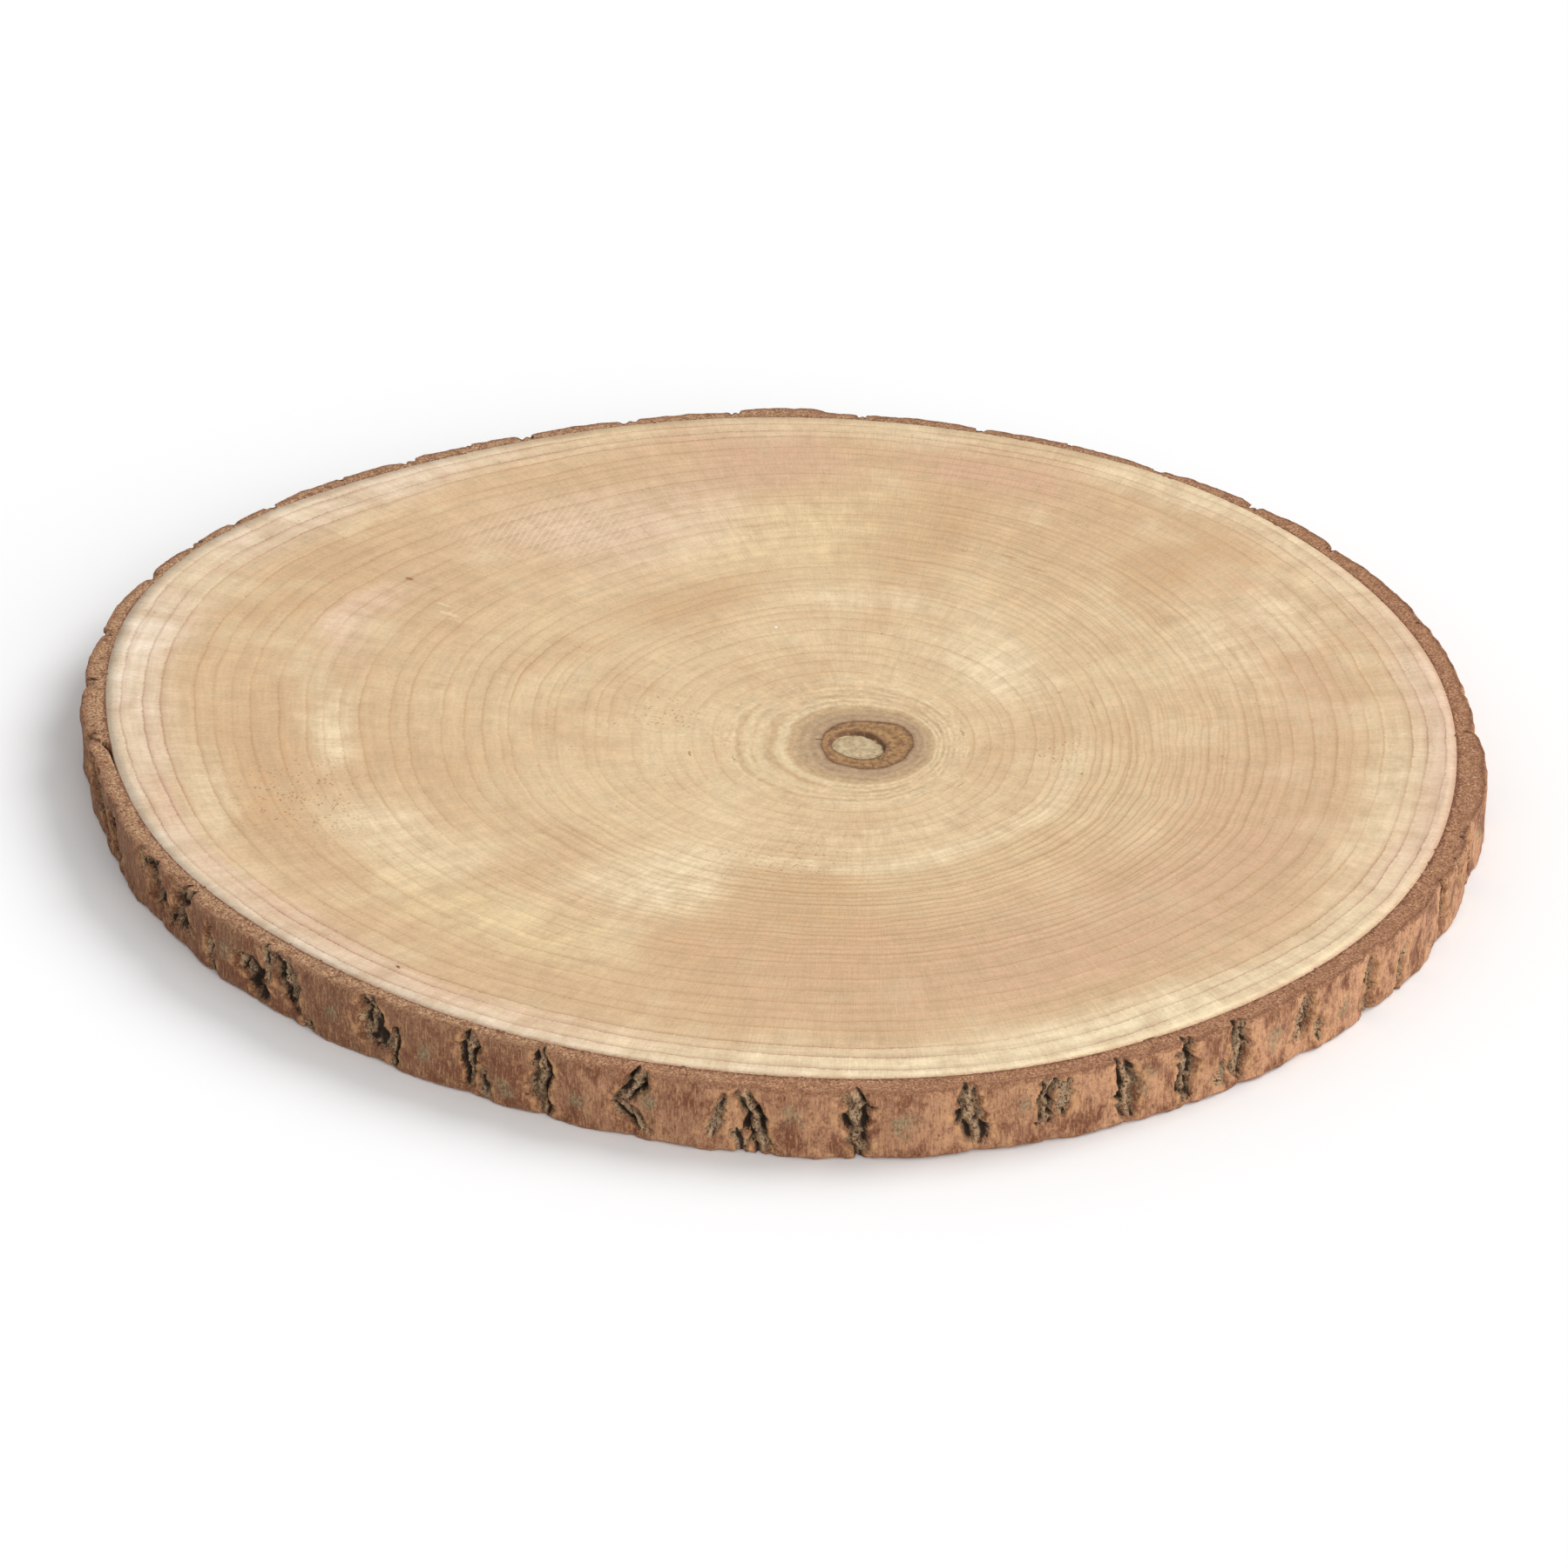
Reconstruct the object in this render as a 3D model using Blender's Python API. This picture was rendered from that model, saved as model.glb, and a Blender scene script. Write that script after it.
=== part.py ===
"""A wood slice: a thin round cut across a tree trunk, with its bark on.

Units are metres and +Z is up. The slice lies flat on its underside, with the origin under the
middle of its outline. -Y is the front, the side whose bark is described crack by crack.

The wood, the bark and the pith grew as one piece, so they are one solid. Its wall is a grid of
points: columns that run up the bark, and rows at fixed heights. Each point's distance from the
axis is the outline's radius there, plus the swell of its bark plate, less the depth of any crack.
"""

from typing import NamedTuple

import bmesh
import bpy
import numpy as np

MM = 0.001

# Driving dimensions
THICKNESS = 20 * MM
MEAN_RADIUS = 199.7 * MM

# The outline's departure from a circle: waves in a turn, height, and the angle of one crest
OUTLINE_WAVES = (
    (2, 6.7 * MM, -39.0),
    (3, 3.4 * MM, 47.0),
    (4, 0.6 * MM, -19.0),
    (5, 0.6 * MM, 9.0),
    (6, 0.9 * MM, -26.0),
)

# How far the foot of the wall stands out from its top: most in front
LEAN_WAVES = ((3, 0.8 * MM, -90.0),)

# Bark plates: the swell of one that spans WHOLE_PLATE degrees, and the least and most of it
PLATE_SWELL = 1.3 * MM
WHOLE_PLATE = 6.0
SWELL_RANGE = (0.3, 1.3)

# Plates that stand proud of the rest: middle and half width in degrees, and how far
PROUD_PLATES = (
    (90.7, 4.1, 2.0 * MM),
    (351.0, 6.2, 1.0 * MM),
)
PLATE_SHOULDER = 12

# Cracks: the widths and depths of the wide ones and the narrow ones
WIDE, WIDE_DEPTH = 5.0 * MM, 2.8 * MM
NARROW, NARROW_DEPTH = 3.2 * MM, 1.6 * MM
CRACK_SECTION = 1.3  # the power of the curve across: 1 is a straight V
CRACK_TAPER = 4  # the power of the curve along: the higher, the blunter the ends

# Fine unevenness of the bark: waves in a turn, and how fast their height falls with it
BARK_GRAIN = 0.22 * MM
GRAIN_WAVES = (31, 53, 87, 131, 173)
GRAIN_FALL = 0.3

# The bark's softened rims
RIM_INSET = 0.6 * MM
RIM_WAVER = 0.35
RIM_WAVES = 67

# Pith: an oval hollow whose floor lies a little under the sawn face
PITH_CENTRE = (23.2 * MM, -15.9 * MM)
PITH_LENGTH = 16.0 * MM
PITH_WIDTH = 15.4 * MM
PITH_DEPTH = 1.2 * MM
PITH_SIDES = 40

# Grid of the wall: the rows as shares of the thickness, and the columns, closer at the cracks
ROW_SHARES = (0.0, 0.035, 0.17, 0.33, 0.50, 0.67, 0.83, 0.965, 1.0)
COLUMNS = 560
DENSITY_STEPS = 7200
CROWDING = 2.2
CROWDING_REACH = 0.7

SMOOTH_UNDER = 50.0  # degrees between two faces, past which their edge is sharp
SEED = 11


class Furrow(NamedTuple):
    """A crack that runs up the bark. Angles are in degrees, anticlockwise from +X seen from above."""

    angle: float  # at mid height
    low: float
    high: float
    lean: float  # how far round its upper end is from its lower end
    width: float
    depth: float


def wide(angle, low, high, lean=0.0):
    """A wide crack, between two plates. Its heights are in millimetres."""
    return Furrow(angle, low * MM, high * MM, lean, WIDE, WIDE_DEPTH)


def narrow(angle, low, high, lean=0.0):
    """A narrow crack, within a plate. Its heights are in millimetres."""
    return Furrow(angle, low * MM, high * MM, lean, NARROW, NARROW_DEPTH)


# The cracks of the front wall, from the left end round the front to the right end.
# A height under 0 or over the thickness means that the crack runs out through that rim.
FRONT_FURROWS = (
    wide(192.5, 4, 21, -4.0),
    narrow(202.5, 13, 21, -1.0),
    wide(205.2, 8, 18, -1.4),
    narrow(207.5, 3, 11),
    wide(209.8, 8, 21, 1.0),
    narrow(214.5, -1, 17),
    wide(220.2, 3, 11, -1.6),
    narrow(222.1, 9, 20),
    wide(224.8, 5, 17, -1.0),
    narrow(227.0, -1, 4),
    wide(234.2, 4, 20, -0.6),
    narrow(236.4, -1, 14, 0.6),
    wide(243.6, 2, 20, 0.6),
    narrow(245.1, 0, 10),
    wide(250.3, 0, 21, -0.3),
    wide(258.0, 10, 21, 2.2),
    wide(258.0, 2, 11, -2.3),
    narrow(264.8, 4, 18, 1.0),
    wide(267.4, -1, 20, -1.9),
    wide(275.2, -1, 21),
    wide(283.8, 2, 21, -0.6),
    wide(289.4, 5, 20, 0.8),
    narrow(290.9, 7, 19, 0.6),
    wide(295.8, 1, 21, -0.6),
    wide(301.1, 1, 21),
    narrow(304.3, 2, 11),
    wide(306.0, 2, 21),
    wide(312.5, 5, 21, 1.3),
    narrow(314.2, 2, 10),
    wide(320.6, -1, 19),
    narrow(325.2, -1, 15, 0.6),
    wide(333.0, 6, 20),
    narrow(336.8, 9, 21, -0.6),
    wide(341.0, -1, 21, -1.2),
)

# The cracks that open on the back rim, by the angle of the notch that each makes there.
# Lower down, each has a seeded lean and foot.
BACK_NOTCHES = (
    357.4, 4.3, 16.8, 32.6, 42.4, 54.0, 63.0, 71.8, 83.2, 94.8, 104.5,
    114.0, 119.6, 125.6, 132.5, 140.1, 144.5, 149.2, 155.8, 165.4, 174.0, 183.0,
)
BACK_FEET = (-1.0, 7.0)  # millimetres up
BACK_HEAD = 21.0
MOST_BACK_LEAN = 1.2
BACK_SHARE_WIDE = 0.7


def waves_at(angles, waves):
    """The sum of cosine waves round the turn, at each angle in radians."""
    return sum(height * np.cos(count * (angles - np.radians(crest))) for count, height, crest in waves)


def turn_between(angles, middle):
    """The signed turn from middle to each angle, in radians, the short way round."""
    return (angles - middle + np.pi) % (2 * np.pi) - np.pi


def back_furrows(rng):
    """One crack from each notch of the back rim, down to a foot of its own."""
    found = []
    for notch in BACK_NOTCHES:
        foot = rng.uniform(*BACK_FEET)
        lean = rng.uniform(-MOST_BACK_LEAN, MOST_BACK_LEAN)
        kind = wide if rng.uniform() < BACK_SHARE_WIDE else narrow
        found.append(kind(notch - lean / 2, foot, BACK_HEAD, lean))
    return found


def column_angles(furrows):
    """The angles of the wall's columns: evenly spaced, but closer together at the cracks."""
    turn = np.linspace(0.0, 2 * np.pi, DENSITY_STEPS, endpoint=False)
    density = np.ones_like(turn)
    for furrow in furrows:
        reach = CROWDING_REACH * furrow.width / MEAN_RADIUS
        apart = turn_between(turn, np.radians(furrow.angle)) / reach
        density = np.maximum(density, 1.0 + CROWDING * np.exp(-(apart**2)))
    share = np.concatenate([[0.0], np.cumsum(density)]) / density.sum()
    marks = np.append(turn, 2 * np.pi)
    return np.interp(np.arange(COLUMNS) / COLUMNS, share, marks)


def plate_swell(angles, furrows):
    """The swell between one wide crack and the next: an arch, nought at each crack."""
    edges = np.unique([np.radians(furrow.angle) for furrow in furrows if furrow.width == WIDE])
    edges = np.concatenate([[edges[-1] - 2 * np.pi], edges, [edges[0] + 2 * np.pi]])
    after = np.clip(np.searchsorted(edges, angles), 1, len(edges) - 1)
    span = edges[after] - edges[after - 1]
    share = (angles - edges[after - 1]) / span
    size = np.clip(span / np.radians(WHOLE_PLATE), *SWELL_RANGE)
    return PLATE_SWELL * size * np.sqrt(np.clip(1.0 - (2.0 * share - 1.0) ** 2, 0.0, 1.0))


def proud_plates(angles):
    """How far the proud plates stand out: flat-topped steps with steep shoulders."""
    out = np.zeros_like(angles)
    for middle, half_width, height in PROUD_PLATES:
        apart = turn_between(angles, np.radians(middle)) / np.radians(half_width)
        out += height * np.exp(-(apart**PLATE_SHOULDER))
    return out


def furrow_depth(angles, heights, furrow):
    """The depth of one crack at each point: a rounded V across, tapering to nothing at its ends."""
    along = (heights - (furrow.low + furrow.high) / 2) / (furrow.high - furrow.low)
    middle = np.radians(furrow.angle + furrow.lean * along)
    across = np.abs(turn_between(angles, middle)) * MEAN_RADIUS / (furrow.width / 2)
    section = np.clip(1.0 - across**CRACK_SECTION, 0.0, 1.0)
    taper = np.clip(1.0 - (2.0 * along) ** CRACK_TAPER, 0.0, 1.0)
    return furrow.depth * section * taper


def bark_grain(angles, shares, rng):
    """A fine unevenness: sine waves round the turn, each of which drifts round as it goes up."""
    grain = np.zeros_like(angles)
    for count in GRAIN_WAVES:
        phase, drift = rng.uniform(0.0, 2 * np.pi), rng.uniform(-np.pi, np.pi)
        grain += np.sin(count * angles + phase + 2.0 * drift * shares) / count**GRAIN_FALL
    return BARK_GRAIN * grain


def rim_inset(angles, rng):
    """How far the first and last rows are drawn in, to soften the bark's two rims."""
    inset = RIM_INSET * (1.0 + RIM_WAVER * np.sin(RIM_WAVES * angles + rng.uniform(0.0, 2 * np.pi)))
    inset[1:-1] = 0.0
    return inset


def wall_points():
    """The wall's points as an array of rows by columns by three coordinates."""
    rng = np.random.default_rng(SEED)
    furrows = list(FRONT_FURROWS) + back_furrows(rng)
    angles, shares = np.meshgrid(column_angles(furrows), np.array(ROW_SHARES))
    heights = shares * THICKNESS
    radius = MEAN_RADIUS - PLATE_SWELL + waves_at(angles, OUTLINE_WAVES)
    radius += (1.0 - shares) * waves_at(angles, LEAN_WAVES)
    radius += plate_swell(angles, furrows) + proud_plates(angles)
    radius += bark_grain(angles, shares, rng)
    radius -= np.max([furrow_depth(angles, heights, furrow) for furrow in furrows], axis=0)
    radius -= rim_inset(angles, rng)
    points = np.stack([radius * np.cos(angles), radius * np.sin(angles), heights], axis=-1)
    middle = (points.min(axis=(0, 1)) + points.max(axis=(0, 1))) / 2
    points[..., :2] -= middle[:2]
    return points


def material(name, colour, roughness):
    """A Principled material of one colour."""
    made = bpy.data.materials.new(name)
    made.use_nodes = True
    shader = made.node_tree.nodes["Principled BSDF"]
    shader.inputs["Base Color"].default_value = (*colour, 1.0)
    shader.inputs["Roughness"].default_value = roughness
    shader.inputs["Metallic"].default_value = 0.0
    made.diffuse_color = (*colour, 1.0)
    return made


def mesh_object(name, model):
    """A new object of this bmesh, in the scene's own collection."""
    mesh = bpy.data.meshes.new(name)
    model.to_mesh(mesh)
    model.free()
    made = bpy.data.objects.new(name, mesh)
    bpy.context.scene.collection.objects.link(made)
    return made


def sawn_slice(points):
    """The slice before its pith is hollowed: the wall's quads, and one flat face at each end."""
    model = bmesh.new()
    rows = [[model.verts.new(point) for point in row] for row in points]
    for low, high in zip(rows[:-1], rows[1:]):
        for start in range(COLUMNS):
            end = (start + 1) % COLUMNS
            model.faces.new((low[start], low[end], high[end], high[start]))
    model.faces.new(rows[-1])
    model.faces.new(rows[0][::-1])
    bmesh.ops.recalc_face_normals(model, faces=model.faces)
    return mesh_object("wood_slice", model)


def pith_cutter():
    """An upright oval drum that reaches down to the hollow's floor. It only cuts."""
    model = bmesh.new()
    height = 2 * PITH_DEPTH
    floor = THICKNESS - PITH_DEPTH
    bmesh.ops.create_cone(
        model, cap_ends=True, segments=PITH_SIDES, radius1=0.5, radius2=0.5, depth=height
    )
    bmesh.ops.scale(model, vec=(PITH_LENGTH, PITH_WIDTH, 1.0), verts=model.verts)
    bmesh.ops.translate(model, vec=(*PITH_CENTRE, floor + height / 2), verts=model.verts)
    cutter = mesh_object("pith_cutter", model)
    cutter.hide_render = True
    cutter.display_type = "WIRE"
    return cutter


def dress(wood_slice, cutter):
    """Gives the sawn faces the wood's material, the wall the bark's and the hollow the pith's."""
    mesh = wood_slice.data
    mesh.materials.append(material("wood", (0.72, 0.55, 0.34), 0.62))
    mesh.materials.append(material("bark", (0.30, 0.17, 0.10), 0.85))
    cutter.data.materials.append(material("pith", (0.74, 0.64, 0.44), 0.8))
    for face in mesh.polygons:
        sawn = face.loop_total == COLUMNS
        face.material_index = 0 if sawn else 1
        face.use_smooth = not sawn
    mesh.set_sharp_from_angle(angle=np.radians(SMOOTH_UNDER))


def hollow_pith(wood_slice, cutter):
    """Cuts the pith's hollow, whose faces keep the cutter's material."""
    hollow = wood_slice.modifiers.new("pith hollow", "BOOLEAN")
    hollow.operation = "DIFFERENCE"
    hollow.solver = "EXACT"
    hollow.material_mode = "TRANSFER"
    hollow.object = cutter


def build():
    """Clears the scene and makes the slice."""
    for old in list(bpy.data.objects):
        bpy.data.objects.remove(old, do_unlink=True)
    wood_slice = sawn_slice(wall_points())
    cutter = pith_cutter()
    dress(wood_slice, cutter)
    hollow_pith(wood_slice, cutter)


build()
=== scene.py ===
"""The looks of a wood slice: a thin round cut across a tree trunk, lying on a pale floor.

Three closed surfaces dress the one solid that the frame holds: the wood with its growth rings, the
bark round it, and the soft pith in its hollow. Each is a function of two parameters on a grid. Sizes
in the numpy code are millimetres and become metres where a mesh is made. Angles are anticlockwise
from +X, seen from above.
"""

import logging
from dataclasses import dataclass
from enum import Enum
from typing import NamedTuple

import bpy
import numpy as np
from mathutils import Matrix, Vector


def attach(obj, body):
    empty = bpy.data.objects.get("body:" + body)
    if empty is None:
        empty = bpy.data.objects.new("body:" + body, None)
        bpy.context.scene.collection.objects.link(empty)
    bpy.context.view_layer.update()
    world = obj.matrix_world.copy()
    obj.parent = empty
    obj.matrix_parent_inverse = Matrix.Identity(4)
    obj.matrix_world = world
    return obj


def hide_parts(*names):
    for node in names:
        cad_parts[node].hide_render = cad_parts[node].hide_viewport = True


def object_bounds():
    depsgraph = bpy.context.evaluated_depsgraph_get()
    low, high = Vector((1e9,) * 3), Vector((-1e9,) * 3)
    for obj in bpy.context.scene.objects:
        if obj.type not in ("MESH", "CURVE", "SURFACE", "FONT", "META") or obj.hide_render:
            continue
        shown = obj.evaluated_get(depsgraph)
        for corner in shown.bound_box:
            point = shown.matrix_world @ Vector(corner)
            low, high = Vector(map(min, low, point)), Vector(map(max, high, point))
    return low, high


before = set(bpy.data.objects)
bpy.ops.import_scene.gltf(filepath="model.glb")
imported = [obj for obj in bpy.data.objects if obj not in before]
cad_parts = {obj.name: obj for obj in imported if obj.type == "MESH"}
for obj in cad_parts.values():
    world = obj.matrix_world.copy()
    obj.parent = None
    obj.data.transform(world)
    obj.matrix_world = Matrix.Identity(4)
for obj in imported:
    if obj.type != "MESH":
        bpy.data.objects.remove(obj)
CAD_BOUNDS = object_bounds()

MM = 0.001
FULL_TURN = 2.0 * np.pi
LATTICE_ROWS = 61
Colour = tuple[int, int, int]
Waves = tuple[tuple[int, float, float], ...]
Direction = tuple[float, float, float]
Socket = bpy.types.NodeSocket
Value = Socket | float | tuple

log = logging.getLogger("wood_slice")


def waves_at(turn: np.ndarray, waves: Waves) -> np.ndarray:
    """Adds up cosine waves round the turn.

    Formula: the sum, over the waves, of height times the cosine of count times the angle from the crest.

    Args:
        turn: Angles in radians.
        waves: For each wave its count in a turn, its height, and the angle of a crest in degrees.

    Returns:
        The height of the sum at each angle.
    """
    return sum(height * np.cos(count * (turn - np.radians(crest))) for count, height, crest in waves)


def turn_between(turn: np.ndarray, middle: np.ndarray | float) -> np.ndarray:
    """Gives the signed turn from middle to each angle, in radians, the short way round."""
    return (turn - middle + np.pi) % FULL_TURN - np.pi


def smooth_step(value: np.ndarray, low: float, high: float) -> np.ndarray:
    """Rises from nought at low to one at high, as 3t² - 2t³ of the share t between them."""
    share = np.clip((value - low) / (high - low), 0.0, 1.0)
    return share * share * (3.0 - 2.0 * share)


def lattice_noise(across: np.ndarray, along: np.ndarray, cells: int, seed: int) -> np.ndarray:
    """Gives smooth random values from -1 to 1 that repeat after a number of cells across.

    Formula: random values stand at whole numbers of both coordinates. Between them each value is the
    mean of its four neighbours, weighted by 3t² - 2t³ of the share t of the way, both ways.

    Args:
        across: First coordinate, in cells.
        along: Second coordinate, in cells.
        cells: How many cells across before the values repeat.
        seed: Seed of the random values.

    Returns:
        One value for each pair of coordinates.
    """
    table = np.random.default_rng(seed).uniform(-1.0, 1.0, (LATTICE_ROWS, cells))
    across, along = np.broadcast_arrays(across, along)
    column, row = np.floor(across).astype(int), np.floor(along).astype(int)
    right = smooth_step(across - column, 0.0, 1.0)
    upper = smooth_step(along - row, 0.0, 1.0)
    near, far = column % cells, (column + 1) % cells
    low, high = row % LATTICE_ROWS, (row + 1) % LATTICE_ROWS
    lower_mean = table[low, near] * (1.0 - right) + table[low, far] * right
    upper_mean = table[high, near] * (1.0 - right) + table[high, far] * right
    return lower_mean * (1.0 - upper) + upper_mean * upper


def plane_noise(x: np.ndarray, y: np.ndarray, feature: float, seed: int) -> np.ndarray:
    """Gives smooth noise over the plane, whose bumps are about one feature wide."""
    return lattice_noise(x / feature, y / feature, LATTICE_ROWS, seed)


class Furrow(NamedTuple):
    """A crack that runs up the bark. Its angle and lean are in degrees, its sizes in millimetres."""

    angle: float
    low: float
    high: float
    lean: float
    width: float
    depth: float


@dataclass(frozen=True)
class Outline:
    """The slice's outline and thickness, as its solid has them, and the wood's own edge inside it."""

    thickness: float = 20.0
    centre: tuple[float, float] = (2.73, 1.43)
    mean_radius: float = 199.7
    waves: Waves = ((2, 6.7, -39.0), (3, 3.4, 47.0), (4, 0.6, -19.0), (5, 0.6, 9.0), (6, 0.9, -26.0))
    lean_waves: Waves = ((3, 0.8, -90.0),)
    wood_radius: float = 193.9
    wood_waves: Waves = (
        (1, 1.45, 112.0),
        (2, 6.3, -40.6),
        (3, 3.4, 45.9),
        (4, 1.0, -26.0),
        (5, 0.9, 9.6),
        (6, 0.7, -26.4),
        (7, 0.4, -1.8),
        (8, 0.4, 15.4),
        (9, 0.2, 4.6),
    )

    def wall_radius(self, turn: np.ndarray, height: np.ndarray) -> np.ndarray:
        """Gives the bark's mean radius: the outline's waves, and its lean in full at the foot."""
        foot = 1.0 - height / self.thickness
        return self.mean_radius + waves_at(turn, self.waves) + foot * waves_at(turn, self.lean_waves)

    def wood_edge(self, turn: np.ndarray) -> np.ndarray:
        """Gives the radius at which the wood ends and the bark begins."""
        return self.wood_radius + waves_at(turn, self.wood_waves)

    def place(self, turn: np.ndarray, radius: np.ndarray, height: np.ndarray) -> np.ndarray:
        """Turns polar values about the outline's centre into points.

        Formula: x and y are the centre plus radius times the cosine and sine of the turn, z the height.

        Args:
            turn: Angles in radians.
            radius: Distances from the outline's centre.
            height: Heights above the underside.

        Returns:
            An array of the same layout with three coordinates at its end.
        """
        x = self.centre[0] + radius * np.cos(turn)
        y = self.centre[1] + radius * np.sin(turn)
        return np.stack(np.broadcast_arrays(x, y, height), axis=-1)


OUTLINE = Outline()


def linear(colour: Colour) -> tuple[float, float, float, float]:
    """Turns a screen colour of 0 to 255 into the linear red, green, blue and alpha of a socket."""
    share = np.array(colour) / 255.0
    value = np.where(share <= 0.04045, share / 12.92, ((share + 0.055) / 1.055) ** 2.4)
    return (*(float(channel) for channel in value), 1.0)


class Recipe:
    """The nodes of one material, which are made and joined as a finish asks for them."""

    def __init__(self, name: str) -> None:
        """Starts a material with its Principled shader.

        Args:
            name: The material's name.
        """
        self.material = bpy.data.materials.new(name)
        self.material.use_nodes = True
        self.tree = self.material.node_tree
        self.shader = self.tree.nodes["Principled BSDF"]

    def node(self, kind: str, inputs: dict | None = None, **settings) -> bpy.types.Node:
        """Makes a node.

        Args:
            kind: The node's type name, without its ShaderNode prefix.
            inputs: A number, colour or socket for each named or numbered input.
            **settings: Values of the node's own properties.

        Returns:
            The new node.
        """
        made = self.tree.nodes.new("ShaderNode" + kind)
        for name, value in settings.items():
            setattr(made, name, value)
        for key, value in (inputs or {}).items():
            self.feed(made.inputs[key], value)
        return made

    def feed(self, socket: Socket, value: Value) -> None:
        """Joins a socket to another one, or sets its own value.

        Args:
            socket: The input that is fed.
            value: The socket, number or colour that feeds it.
        """
        if isinstance(value, Socket):
            self.tree.links.new(value, socket)
        else:
            socket.default_value = value

    def attribute(self, name: str) -> Socket:
        """Reads a number that the mesh holds at each point."""
        return self.node("Attribute", attribute_name=name).outputs["Fac"]

    def space(self, across: float, deep: float, high: float) -> Socket:
        """Gives object coordinates that are counted in features.

        Args:
            across: The size of a feature along x, in millimetres.
            deep: Its size along y.
            high: Its size along z.

        Returns:
            The socket of the scaled coordinates.
        """
        source = self.node("TexCoord").outputs["Object"]
        scale = tuple(1.0 / (size * MM) for size in (across, deep, high))
        return self.node("Mapping", {"Vector": source, "Scale": scale}).outputs["Vector"]

    def noise(self, vector: Socket, detail: float = 2.0, rough: float = 0.5) -> Socket:
        """Gives noise from nought to one over a space whose features are one unit wide."""
        inputs = {"Vector": vector, "Scale": 1.0, "Detail": detail, "Roughness": rough}
        return self.node("TexNoise", inputs).outputs["Fac"]

    def maths(self, operation: str, *values: Value) -> Socket:
        """Works out one sum on numbers or sockets."""
        return self.node("Math", dict(enumerate(values)), operation=operation).outputs[0]

    def span(self, value: Value, low: float, high: float, start: float = 0.0, end: float = 1.0) -> Socket:
        """Carries a value smoothly from start to end as it goes from low to high.

        Args:
            value: The socket to read.
            low: The value that gives start, and everything on its far side.
            high: The value that gives end, and everything on its far side.
            start: The result at low.
            end: The result at high.

        Returns:
            The socket of the result.
        """
        inputs = {"Value": value, "From Min": low, "From Max": high, "To Min": start, "To Max": end}
        return self.node("MapRange", inputs, interpolation_type="SMOOTHSTEP").outputs["Result"]

    def blend(self, share: Value, first: Value, second: Value, mode: str = "MIX") -> Socket:
        """Blends two colours.

        Args:
            share: How much of the second, a number or a socket.
            first: The colour or socket that is blended over.
            second: The colour or socket that is blended in.
            mode: The way they blend.

        Returns:
            The socket of the blended colour.
        """
        inputs = {0: share, 6: first, 7: second}
        return self.node("Mix", inputs, data_type="RGBA", blend_type=mode).outputs[2]

    def ramp(self, value: Value, stops: list[tuple[float, tuple]]) -> Socket:
        """Reads a colour ramp.

        Args:
            value: The socket that picks the place on the ramp, from nought to one.
            stops: The ramp's places and linear colours, in rising order.

        Returns:
            The socket of the ramp's colour.
        """
        made = self.node("ValToRGB", {"Fac": value})
        elements = made.color_ramp.elements
        elements[0].position, elements[0].color = stops[0]
        elements[1].position, elements[1].color = stops[-1]
        for place, colour in stops[1:-1]:
            elements.new(place).color = colour
        return made.outputs["Color"]

    def facing(self, vector: Socket, way: Direction) -> Socket:
        """Gives how far a unit vector points this way: one along it, and minus one against it."""
        return self.node("VectorMath", {0: vector, 1: way}, operation="DOT_PRODUCT").outputs["Value"]

    def bump(self, height: Socket, distance: float, under: Socket | None = None) -> Socket:
        """Tilts the surface by a height field.

        Args:
            height: The socket of the height, from nought to one.
            distance: What a height of one stands for, in millimetres.
            under: The normal socket of the relief below, if there is one.

        Returns:
            The socket of the tilted normal.
        """
        inputs = {"Height": height, "Distance": distance * MM, "Strength": 1.0}
        if under is not None:
            inputs["Normal"] = under
        return self.node("Bump", inputs).outputs["Normal"]

    def finish(
        self, colour: Socket, roughness: Value, normal: Socket | None, specular: float
    ) -> bpy.types.Material:
        """Joins the results to the shader.

        Args:
            colour: The base colour's socket.
            roughness: The roughness, a number or a socket.
            normal: The normal's socket, if there is one.
            specular: The specular level.

        Returns:
            The finished material.
        """
        self.feed(self.shader.inputs["Base Color"], colour)
        self.feed(self.shader.inputs["Roughness"], roughness)
        self.shader.inputs["Specular IOR Level"].default_value = specular
        if normal is not None:
            self.feed(self.shader.inputs["Normal"], normal)
        return self.material


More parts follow.
